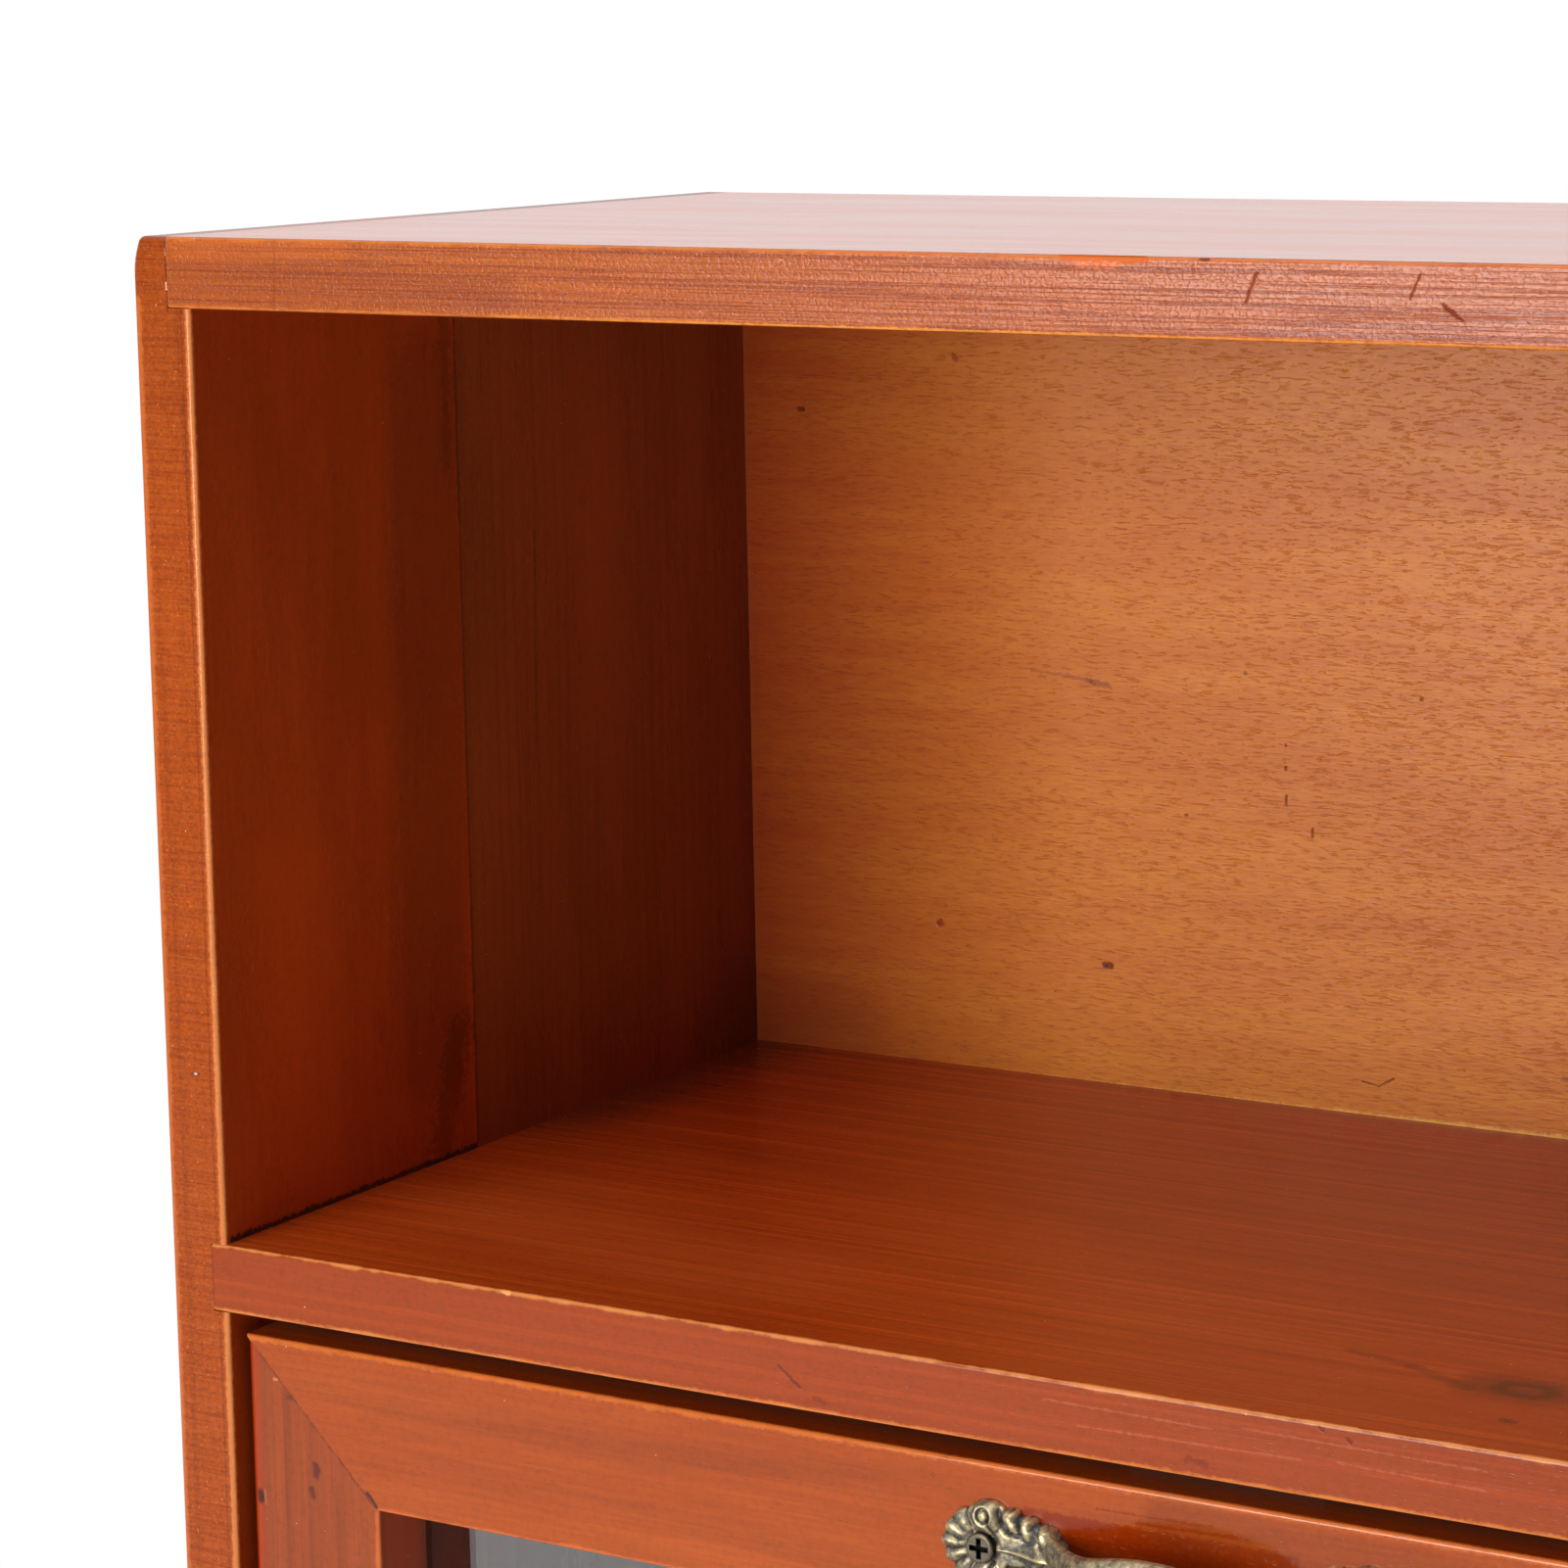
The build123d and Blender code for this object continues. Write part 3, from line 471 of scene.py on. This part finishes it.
def veneer(name, marks):
    """Stained rotary-cut veneer: soft blotches, fine fibres and short dark pores along the sheet."""
    material, tree, point = new_material(name)
    axes = split(tree, point)
    blotches = noise(tree, point, (0.013, 0.09, 0.09), detail=5.0, roughness=0.65)
    streaks = noise(tree, point, (0.02, 0.4, 0.4), detail=4.0, roughness=0.6)
    fibres = noise(tree, point, (0.25, 1.6, 1.6), detail=3.0, roughness=0.75)
    tone = blend(tree, fade(tree, blotches, 0.32, 0.7), colour(181, 101, 24), colour(193, 117, 32))
    tone = tint(tree, tone, fade(tree, streaks, 0.35, 0.7), 0.2, (172, 84, 22))
    tone = tint(tree, tone, fade(tree, fibres, 0.42, 0.68), 0.42, (156, 74, 24))
    # Darker and redder towards the left side of the bay: painted shadow of the left side.
    leftward = calc(tree, "ADD", axes[0], calc(tree, "MULTIPLY", streaks, 60.0))
    tone = tint(tree, tone, fade(tree, leftward, -70.0, -175.0), 0.75, (143, 22, 14))
    where = noise(tree, point, (0.02, 0.03, 0.03), detail=2.0)
    pores = noise(tree, point, (0.34, 2.1, 2.1), detail=2.0, roughness=0.7)
    pores = calc(tree, "ADD", pores, calc(tree, "MULTIPLY", calc(tree, "SUBTRACT", where, 0.5), 0.1))
    pores = calc(tree, "ADD", pores, calc(tree, "MULTIPLY", axes[0], 0.0001))
    pores = fade(tree, pores, 0.57, 0.66)
    tone = tint(tree, tone, pores, 0.3, (140, 50, 2))
    flecks = fade(tree, noise(tree, point, (1.1, 1.3, 1.3), detail=3.0, roughness=0.6), 0.67, 0.72)
    tone = tint(tree, tone, flecks, 0.6, (104, 26, 0))
    height = calc(tree, "SUBTRACT", calc(tree, "MULTIPLY", fibres, 1.4), pores)
    marked, height = lay_marks(tree, point, tone, height, marks)
    tone = blend(tree, fade(tree, axes[1], panel_face + 1.0, panel_face + 0.4), tone, marked)
    bump = put(tree, "Bump", ("Height", height), ("Distance", 0.00006), ("Strength", 1.0))
    lacquer = put(tree, "BsdfPrincipled", ("Base Color", tone), ("Roughness", 0.32),
                  ("Normal", bump.outputs[0]), ("IOR", 1.34))
    put(tree, "OutputMaterial", ("Surface", lacquer.outputs[0]))
    return material


fleck = (84, 22, 0)
stray = (110, 44, 24)
panel_marks = on_face(
    1, panel_face,
    ((150, 74, 34), 0.4, (-182.6, 327), (-182.6, 488), 0.9, 0.6),   # where the side lifted the stain
    # Darker at the lower left corner: painted shade.
    ((90, 40, 22), 0.2, (-183, 327), (-165, 327), 20.0, 8.0),
    ((214, 160, 76), 0.9, (-158, 325.4), (190, 328.2), 1.5, 1.0),   # bare foot
    ((84, 18, 4), 0.8, (-169.9, 457.2), (-169.1, 457.2), 0.8, 0.5),  # pin knots
    ((120, 26, 6), 0.8, (-139.4, 355.5), (-138.8, 355.5), 1.0, 0.8),
    ((84, 16, 2), 0.9, (-101.8, 350.5), (-100.6, 350.5), 0.9, 0.5),
    ((100, 24, 8), 0.6, (-134.1, 468.8), (-133.6, 468.4), 0.8, 0.6),
    ((130, 56, 26), 0.5, (-117.5, 408.0), (-104.0, 406.6), 0.5, 0.9),  # resin streak
    ((116, 44, 14), 0.6, (-105.0, 406.8), (-100.0, 405.7), 0.75, 1.3),
    (stray, 0.8, (-46.5, 333.4), (-43.0, 332.8), 0.22, 0.2),        # stray fibre
    (stray, 0.8, (-43.0, 332.8), (-40.0, 334.6), 0.22, 0.2),
    (fleck, 0.8, (-56.9, 379.7), (-56.8, 381.3), 0.35, 0.2),        # pin holes and flecks
    (fleck, 0.8, (-62.4, 385.5), (-62.3, 387.2), 0.35, 0.2),
    (fleck, 0.8, (-62.4, 392.3), (-62.4, 392.7), 0.4, 0.2),
    (fleck, 0.7, (-62.4, 396.9), (-62.4, 397.2), 0.3, 0.2),
    (fleck, 0.8, (-83.8, 381.8), (-83.6, 381.8), 0.45, 0.3),
    (fleck, 0.8, (-34.4, 407.7), (-34.2, 407.7), 0.45, 0.3),
    (fleck, 0.7, (-71.0, 410.3), (-70.8, 410.3), 0.4, 0.3),
    ((130, 58, 26), 0.4, (-12.3, 391.9), (-7.0, 393.9), 0.25, 0.6),
    ((130, 58, 26), 0.3, (-40.0, 398.0), (-36.0, 398.2), 0.25, 0.4),
    (stray, 0.6, (-5.5, 338.4), (-4.0, 338.2), 0.7, 0.8),
)
dress("back_panel", veneer("back_panel", panel_marks))

# ------------------------------------------------------------------ doors
# Mitred pine frames, glued and pinned at the corners. Their lacquer is smoother and glossier than the
# carcass, has pooled on the outer arris of each stile and hardly reaches the top of the frame.

door_face = -84
door_edge = -181                     # left edge of a door
frame_width = 27.5
lacquer_red = (150, 46, 5)
bow_shadow_red = (124, 32, 0)
# The deep red of the painted shadow and reflection of the handle's bow on the top rail.
door_knot = (80, 20, 4)
pin_hole = (36, 10, 0)
# Painted light on the inner side of the left stile.
painted_light_red = (190, 66, 8)
for door, log in (("upper", 0.0), ("lower", 2100.0)):
    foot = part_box(f"{door}_door_rail_bottom")[0].z * 1000
    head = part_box(f"{door}_door_rail_top")[1].z * 1000
    corner_marks = on_face(
        1, door_face,
        (umber, 0.6, (door_edge, head), (-153.5, head - frame_width), 0.25, 0.6),       # mitre
        ((200, 124, 82), 0.6, (-175.1, head - 7.2), (-174.4, head - 7.2), 0.4, 0.5),
        (umber, 0.8, (-172.2, head - 10), (-171.6, head - 10), 0.6, 0.6),
        ((64, 24, 12), 0.9, (-155.6, head - 24.6), (-153.9, head - 26.6), 0.5, 0.5),
        (umber, 0.6, (181, head), (153.5, head - frame_width), 0.22, 0.3),
    ) + (
        ((112, 68, 48), 0.85, (-190, -70, head), (190, -70, head), 12.0, 3.0),          # top of the rail, greyer where the lacquer is thin, and painted lighter as painted light in the dim gap
    ) + on_face(
        1, door_face,
        ((208, 114, 48), 0.4, (-181, head - 0.2), (181, head - 0.2), 1.0, 1.2),
        ((118, 32, 6), 0.75, (-25, head - 15.0), (22, head - 15.4), 9.0, 2.5),          # painted shadow and reflection of the handle's bow, with the lines below
        (bow_shadow_red, 0.8, (-27, head - 7.0), (20, head - 7.2), 1.2, 0.9),
        (bow_shadow_red, 0.8, (-28, head - 8.3), (24, head - 8.6), 1.2, 0.9),
        (bow_shadow_red, 0.8, (-28, head - 9.8), (26, head - 10.2), 1.3, 0.9),
        # Painted shadow and reflection of the bow, reaching above it and to its right.
        ((110, 44, 18), 0.42, (-2, head - 4.6), (60, head - 6.6), 5.6, 2.0),
        (bow_shadow_red, 0.6, (-8, head - 5.6), (12, head - 5.0), 0.3, 0.7),
        (bow_shadow_red, 0.6, (-14, head - 4.4), (6, head - 4.0), 0.25, 0.6),
    )
    stile_marks = (
        (lacquer_red, 0.85, (-180.2, -84.2, foot), (-180.2, -84.2, head), 2.9, 0.5),    # pooled lacquer
        ((84, 26, 6), 0.75, (door_edge, -83.2, foot), (door_edge, -83.2, head), 1.5, 0.3),
    ) + on_face(
        1, door_face,
        (door_knot, 0.8, (-166.6, head - 21.4), (-166.4, head - 23.0), 1.1, 1.1),
        (door_knot, 0.8, (-167.6, head - 25.8), (-167.4, head - 26.8), 0.9, 1.0),
        (pin_hole, 0.65, (-178.9, head - 28.1), (-178.8, head - 29.3), 1.1, 0.4),
        (pin_hole, 0.65, (-178.9, head - 28.3), (-178.8, head - 29.1), 0.9, 0.4),
        ((206, 120, 70), 0.3, (-178.0, head - 27.6), (-177.8, head - 30.0), 0.25, 0.2),
    ) + (
        (painted_light_red, 0.6, (-152, -80.5, foot + 27), (-152, -80.5, head - frame_width), 4.5, 0.5),  # painted light on the inner side of the stile
        (painted_light_red, 0.6, (-152, -75.5, foot + 27), (-152, -75.5, head - frame_width), 5.0, 0.5),
    )
    for part, along in (("rail_top", "X"), ("rail_bottom", "X"), ("stile_left", "Z"), ("stile_right", "Z")):
        name = f"{door}_door_{part}"
        log += 170
        marks = corner_marks + stile_marks if part == "stile_left" else corner_marks
        deep, pale = ((156, 65, 14), (166, 73, 18)) if along == "X" else ((138, 58, 16), (148, 64, 20))
        dress(name, stained_pine(
            name, along, (log, log, 0), (0, log + 40, 330), deep, pale, (0, 0, 0), rubbed=(204, 104, 44),
            rub=0.9, ring=3.0, lines=0.2 if along == "X" else 0.3, streaks=0.08, fibres=0.22,
            grain_depth=0.00001, rough=0.1, marks=marks))

# ------------------------------------------------------------------ panes
# A pane of clear float glass lies in the rebate behind each frame, where turn buttons hold it. Wiping
# has left it faintly smeared.

for door in ("upper", "lower"):
    name = f"{door}_door_pane"
    material, tree, point = new_material(name)
    smears = fade(tree, noise(tree, point, (0.02, 0.02, 0.05), detail=4.0), 0.45, 0.8)
    glass = put(tree, "BsdfPrincipled", ("Base Color", colour(244, 240, 236)), ("Transmission Weight", 1.0),
                ("IOR", 1.93), ("Roughness", calc(tree, "MULTIPLY", smears, 0.06)))
    put(tree, "OutputMaterial", ("Surface", glass.outputs[0]))
    dress(name, material)

# ------------------------------------------------------------------ handles
# Zinc castings plated to look like old bronze: a scallop and leaves at each screw, and a bow between
# them for the fingers. The plating is dark in the hollows and rubbed pale on the ridges.

handle_half = 33.6                   # middle of the bow to a screw, in millimetres
handle_drop = 13.2                   # screws below the top edge of the door
hole_radius = 1.7
lip = 0.35                           # thickness at the rim of the plate
bow_start = 9.0                      # where the bow grows out of the plate, from the screw
# How far the rim is from the screw at each angle from the bow, in degrees, up to the scallop.
rim = ((0, 15.4), (7, 14.7), (14, 14.0), (19, 13.5), (23, 12.6), (26.5, 11.0), (31, 10.9), (36, 10.1),
       (41, 8.7), (47, 8.9), (53, 8.3), (60, 7.4), (66, 7.5), (75, 7.7), (84, 7.5), (91, 7.4), (99, 7.1),
       (107, 6.8), (113, 6.6), (119, 6.2))
grooves = (119, 146, 170, 190, 214, 241)       # between the flutes of the scallop, in degrees from the bow
# Leaves that stand up from the plate: base height, middle, half width and length, lean and rise.
leaves = ((0.9, (0.8, 4.9), (3.1, 3.1), 0, 1.6), (0.6, (5.3, 5.2), (1.5, 3.2), 38, 2.1),
          (0.7, (8.3, 4.4), (1.35, 2.7), 10, 2.3), (0.8, (11.6, 3.5), (2.2, 2.3), 50, 2.6))
# Carved lines: from, to, width and depth.
veins = (((1.1, 4.2), (1.9, 2.3), 0.3, 0.7), ((2.8, 6.3), (3.2, 4.3), 0.4, 0.8),
         ((3.2, 4.3), (4.5, 2.9), 0.4, 0.8), ((4.5, 2.9), (6.4, 2.6), 0.35, 0.6),
         ((6.7, 5.6), (6.8, 4.0), 0.35, 0.8), ((6.8, 4.0), (7.3, 2.4), 0.35, 0.6),
         ((9.7, 5.3), (10.2, 4.0), 0.35, 0.8), ((10.2, 4.0), (10.9, 1.7), 0.3, 0.7),
         ((10.9, 1.7), (12.4, 0.4), 0.3, 0.6), ((12.6, 1.7), (14.3, 3.0), 0.35, 0.8))


def ease(share):
    """From 0 to 1, starting and ending gently."""
    share = min(max(share, 0.0), 1.0)
    return share * share * (3 - 2 * share)


def flute(angle):
    """The rounded ribs of the scallop: 1 on a rib, 0 in the groove between two."""
    for start, end in zip(grooves, grooves[1:]):
        if start <= angle <= end:
            return math.sin(math.pi * (angle - start) / (end - start))
    return 0.0


def rim_reach(angle):
    """How far the plate reaches from its screw at an angle from the bow, 0 to 180 degrees."""
    if angle >= grooves[0]:
        return rim[-1][1] + (angle - grooves[0]) / 55 + 0.55 * flute(angle) ** 0.5
    for (a, reach_a), (b, reach_b) in zip(rim, rim[1:]):
        if angle <= b:
            return reach_a + (reach_b - reach_a) * ease((angle - a) / (b - a))


def leaf_rise(x, z, centre, half, lean, rise):
    """A rounded leaf: its middle, its half width and half length, its lean in degrees and its height."""
    turn = math.radians(lean)
    dx, dz = x - centre[0], z - centre[1]
    u = (dx * math.cos(turn) + dz * math.sin(turn)) / half[0]
    v = (-dx * math.sin(turn) + dz * math.cos(turn)) / half[1]
    return rise * max(0.0, 1 - u * u - v * v) ** 0.5


def vein_depth(x, z, start, end, width, depth):
    """A carved line between two points."""
    run = (end[0] - start[0], end[1] - start[1])
    share = ((x - start[0]) * run[0] + (z - start[1]) * run[1]) / (run[0] ** 2 + run[1] ** 2)
    share = min(max(share, 0.0), 1.0)
    off = math.hypot(x - start[0] - share * run[0], z - start[1] - share * run[1])
    return depth * math.exp(-(off / width) ** 2)


def plate_height(x, z):
    """How far the face of the plate stands off the door. X is from the screw towards the bow."""
    z = abs(z)
    radius, angle = math.hypot(x, z), math.degrees(math.atan2(z, x))
    body = 1.3 + 0.35 * ease((radius - 2.4) / 1.4)
    if angle >= grooves[0]:
        body += (flute(angle) ** 0.7 - 0.6) * 0.9 * ease((radius - 2.2) / 2.6)
    for base, *leaf in leaves:
        body = max(body, base + leaf_rise(x, z, *leaf))
    crest = 1.9 + 2.3 * ease((x - 4.0) / 10.0)
    body = max(body, crest - 0.5 * z - 0.25 * min(z, 0.5) if x > 2.2 else 0.0)
    eyelet = abs(math.hypot(x - 0.3, z - 5.1) - 1.05)
    body -= 0.8 * math.exp(-(eyelet / 0.28) ** 2)
    for vein in veins:
        body -= vein_depth(x, z, *vein)
    return body


def bow_section(x):
    """Where the middle of the bow stands, its half thickness and its half height, at x from its middle."""
    from_screw = handle_half - abs(x)
    rise = ease((from_screw - bow_start) / 15.0)
    root = 1 - ease((from_screw - bow_start) / 6.0)
    stand = 1.25 + 8.05 * rise - 0.5 * root
    thick = 1.25 + 1.25 * rise - 0.3 * root
    tall = 3.7 + 1.9 * ease((from_screw - 16.0) / 17.0) + 0.4 * ease((16.0 - from_screw) / 7.0)
    return stand, thick, tall


def cast_handle(name, screw_level):
    """The mesh of one handle, in the cabinet's frame: two plates in rings of spokes, and the bow."""
    shape = bmesh.new()
    spokes, steps = 256, 30
    around, lengths = 40, 96

    def vertex(x, out, z):
        return shape.verts.new((x / 1000, (door_face - out) / 1000, (screw_level + z) / 1000))

    for side in (-1, 1):
        rays = []
        for k in range(spokes):
            angle = 360.0 * k / spokes
            reach = rim_reach(min(angle, 360 - angle))
            ray = []
            for n in range(steps + 1):
                share = n / steps
                radius = hole_radius + (reach - hole_radius) * share
                x, z = radius * math.cos(math.radians(angle)), radius * math.sin(math.radians(angle))
                out = max(plate_height(x, z), 0.5)
                out = lip + (out - lip) * (1 - share ** 10) ** 0.5
                ray.append(vertex(side * (x - handle_half), out, z))
            ray.append(vertex(side * (x - handle_half), 0.0, z))
            rays.append(ray)
        for ray, following in zip(rays, rays[1:] + rays[:1]):
            for a, b, c, d in zip(ray, ray[1:], following[1:], following):
                shape.faces.new((a, b, c, d) if side < 0 else (d, c, b, a))

    loops = []
    for k in range(lengths + 1):
        x = (handle_half - bow_start) * (2 * k / lengths - 1)
        stand, thick, tall = bow_section(x)
        loops.append([vertex(x, stand + thick * math.cos(2 * math.pi * n / around),
                             tall * math.sin(2 * math.pi * n / around)) for n in range(around)])
    for loop, following in zip(loops, loops[1:]):
        for n in range(around):
            m = (n + 1) % around
            shape.faces.new((loop[n], following[n], following[m], loop[m]))

    bmesh.ops.recalc_face_normals(shape, faces=shape.faces)
    mesh = bpy.data.meshes.new(name)
    shape.to_mesh(mesh)
    shape.free()
    mesh.polygons.foreach_set("use_smooth", [True] * len(mesh.polygons))
    return mesh


def old_bronze():
    """Dark bronze plating in the hollows, rubbed to pale gold where it stands proud."""
    material, tree, point = new_material("old_bronze")
    pointed = put(tree, "NewGeometry").outputs["Pointiness"]
    patches = noise(tree, point, (0.8, 0.8, 0.8), detail=4.0, roughness=0.65)
    grit = noise(tree, point, (1.9, 1.9, 1.9), detail=4.0, roughness=0.75)
    proud = calc(tree, "ADD", pointed, calc(tree, "MULTIPLY", calc(tree, "SUBTRACT", patches, 0.5), 0.16))
    proud = fade(tree, proud, 0.475, 0.565)
    tone = blend(tree, fade(tree, grit, 0.35, 0.7), colour(66, 64, 66), colour(102, 98, 96))
    tone = blend(tree, proud, tone, colour(208, 190, 144))
    bump = put(tree, "Bump", ("Height", grit), ("Distance", 0.00008), ("Strength", 1.0))
    rough = calc(tree, "SUBTRACT", 0.5, calc(tree, "MULTIPLY", proud, 0.14))
    metal = put(tree, "BsdfPrincipled", ("Base Color", tone), ("Metallic", 0.85), ("Roughness", rough),
                ("Normal", bump.outputs[0]))
    put(tree, "OutputMaterial", ("Surface", metal.outputs[0]))
    return material


bronze = old_bronze()
for door in ("upper", "lower"):
    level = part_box(f"{door}_door_rail_top")[1].z * 1000 - handle_drop
    mesh = cast_handle(f"{door}_bow_handle", level)
    mesh.materials.append(bronze)
    handle = add(f"{door}_bow_handle", mesh)
    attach(handle, f"{door}_door")
    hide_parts(f"{door}_door_handle")

# ------------------------------------------------------------------ screws, nails, hinges and catches
# Bought hardware: pan-head handle screws blackened to match, zinc-plated screws, brads, nails and
# plates, brass-plated butt hinges, and magnetic catches in brown plastic.

recess_shade_black = (9, 8, 7)


def plated(name, bright, dull, metallic, rough, grain=2.0, recess_shade_depths=None):
    """Plated or moulded hardware with a faintly mottled surface.

    Grain is how many mottles there are to the millimetre, and the last argument, when given, holds the two
    depths between which it turns black: painted shade in the cross recess of a screw head."""
    material, tree, point = new_material(name)
    mottle = noise(tree, point, (grain * 0.2, grain, grain), detail=4.0, roughness=0.6)
    tone = blend(tree, mottle, colour(*dull), colour(*bright))
    if recess_shade_depths:
        # Turning black between the two depths is painted shade in a recess.
        tone = blend(tree, fade(tree, split(tree, point)[1], *recess_shade_depths), tone, colour(*recess_shade_black))
    shine = calc(tree, "ADD", rough - 0.1, calc(tree, "MULTIPLY", mottle, 0.2))
    bump = put(tree, "Bump", ("Height", mottle), ("Distance", 0.00002))
    cover = put(tree, "BsdfPrincipled", ("Base Color", tone), ("Metallic", metallic), ("Roughness", shine),
                ("Normal", bump.outputs[0]))
    put(tree, "OutputMaterial", ("Surface", cover.outputs[0]))
    return material


finishes = {
    # The handle screws turn black deeper than the face of the head: painted shade in the cross recess.
    "dark_steel": plated("blackened_steel", (124, 112, 94), (70, 62, 54), 0.9, 0.4, recess_shade_depths=(-86.65, -86.35)),
    "zinc_steel": plated("zinc_plate", (196, 196, 190), (142, 142, 138), 1.0, 0.36),
    "hinge_brass": plated("brass_plate", (226, 190, 112), (182, 144, 78), 1.0, 0.3),
    "catch_plastic": plated("brown_plastic", (92, 56, 34), (72, 42, 26), 0.0, 0.5, grain=6.0),
    "magnet": plated("ferrite", (52, 50, 48), (36, 34, 33), 0.1, 0.6, grain=8.0),
}
for piece in frame["record"]["subparts"]:
    if piece["material_slot"] in finishes:
        dress(piece["node"], finishes[piece["material_slot"]])

# ------------------------------------------------------------------ studio
# A white table that glows white away from the cabinet, a room that is white behind and dim towards the
# front, a large soft lamp low at the front left, a weaker one above and one behind.

white = (1, 1, 1, 1)
paint_white = (0.9, 0.9, 0.9, 1)
table_half = 12.0
table_drop = 0.0003                  # just clear of the underside
lamps_aim = (0, 0, 0.3)


def floor_paint():
    """White paint near the cabinet that turns to an even white glow further out, dimmer in reflections."""
    material, tree, point = new_material("pale_floor")
    out = measure(tree, "LENGTH", point)
    paint = put(tree, "BsdfDiffuse", ("Color", paint_white))
    mirrored = put(tree, "LightPath").outputs["Is Glossy Ray"]
    dimmer = calc(tree, "MULTIPLY", calc(tree, "MULTIPLY", mirrored, fade(tree, out, 1000.0, 1900.0)), 0.75)
    glow = put(tree, "Emission", ("Color", white), ("Strength", calc(tree, "SUBTRACT", 1.0, dimmer)))
    mixed = put(tree, "MixShader", (0, fade(tree, out, 350.0, 750.0)), (1, paint.outputs[0]),
                (2, glow.outputs[0]))
    put(tree, "OutputMaterial", ("Surface", mixed.outputs[0]))
    return material


floor_mesh = bpy.data.meshes.new("floor")
floor_mesh.from_pydata([(x * table_half, y * table_half, 0) for x, y in ((-1, -1), (1, -1), (1, 1), (-1, 1))],
                       [], [(0, 1, 2, 3)])
floor_mesh.materials.append(floor_paint())
floor = add("floor", floor_mesh)
floor.location.z = -table_drop

world = bpy.data.worlds.new("surround")
bpy.context.scene.world = world
world.use_nodes = True
tree = world.node_tree
tree.nodes.clear()
path = put(tree, "LightPath").outputs
bearing = split(tree, put(tree, "TexCoord").outputs["Generated"])[1]
backdrop = put(tree, "MapRange", ("Value", bearing), ("From Min", -0.4), ("From Max", 0.2), ("To Min", 0.25))
mirrored = calc(tree, "MULTIPLY", path["Is Glossy Ray"], backdrop.outputs[0])
seen = calc(tree, "MAXIMUM", mirrored, path["Is Transmission Ray"])
seen = calc(tree, "MAXIMUM", path["Is Camera Ray"], seen)
seen = calc(tree, "MULTIPLY", seen, calc(tree, "LESS_THAN", path["Diffuse Depth"], 0.5))
strength = put(tree, "MapRange", ("Value", seen), ("To Min", 0.08), ("To Max", 1.0)).outputs[0]
air = put(tree, "Background", ("Color", white), ("Strength", strength))
put(tree, "OutputWorld", ("Surface", air.outputs[0]))


def lamp(name, azimuth, elevation, distance, size, power):
    """A soft lamp aimed at the middle of the cabinet. Azimuth 0 is straight in front, left is negative."""
    light = bpy.data.lights.new(name, "AREA")
    light.shape = "RECTANGLE"
    light.size, light.size_y = size
    light.energy = power
    a, e = math.radians(azimuth), math.radians(elevation)
    direction = Vector((math.sin(a) * math.cos(e), -math.cos(a) * math.cos(e), math.sin(e)))
    made = add(name, light)
    made.location = Vector(lamps_aim) + direction * distance
    made.rotation_euler = direction.to_track_quat("Z", "Y").to_euler()


lamp("key", azimuth=-13, elevation=9, distance=1.6, size=(0.9, 0.85), power=26)
lamp("above", azimuth=-15, elevation=66, distance=1.7, size=(1.2, 0.8), power=9)
lamp("behind", azimuth=160, elevation=60, distance=1.8, size=(1.2, 1.2), power=12)

bpy.context.scene.view_settings.view_transform = "Standard"
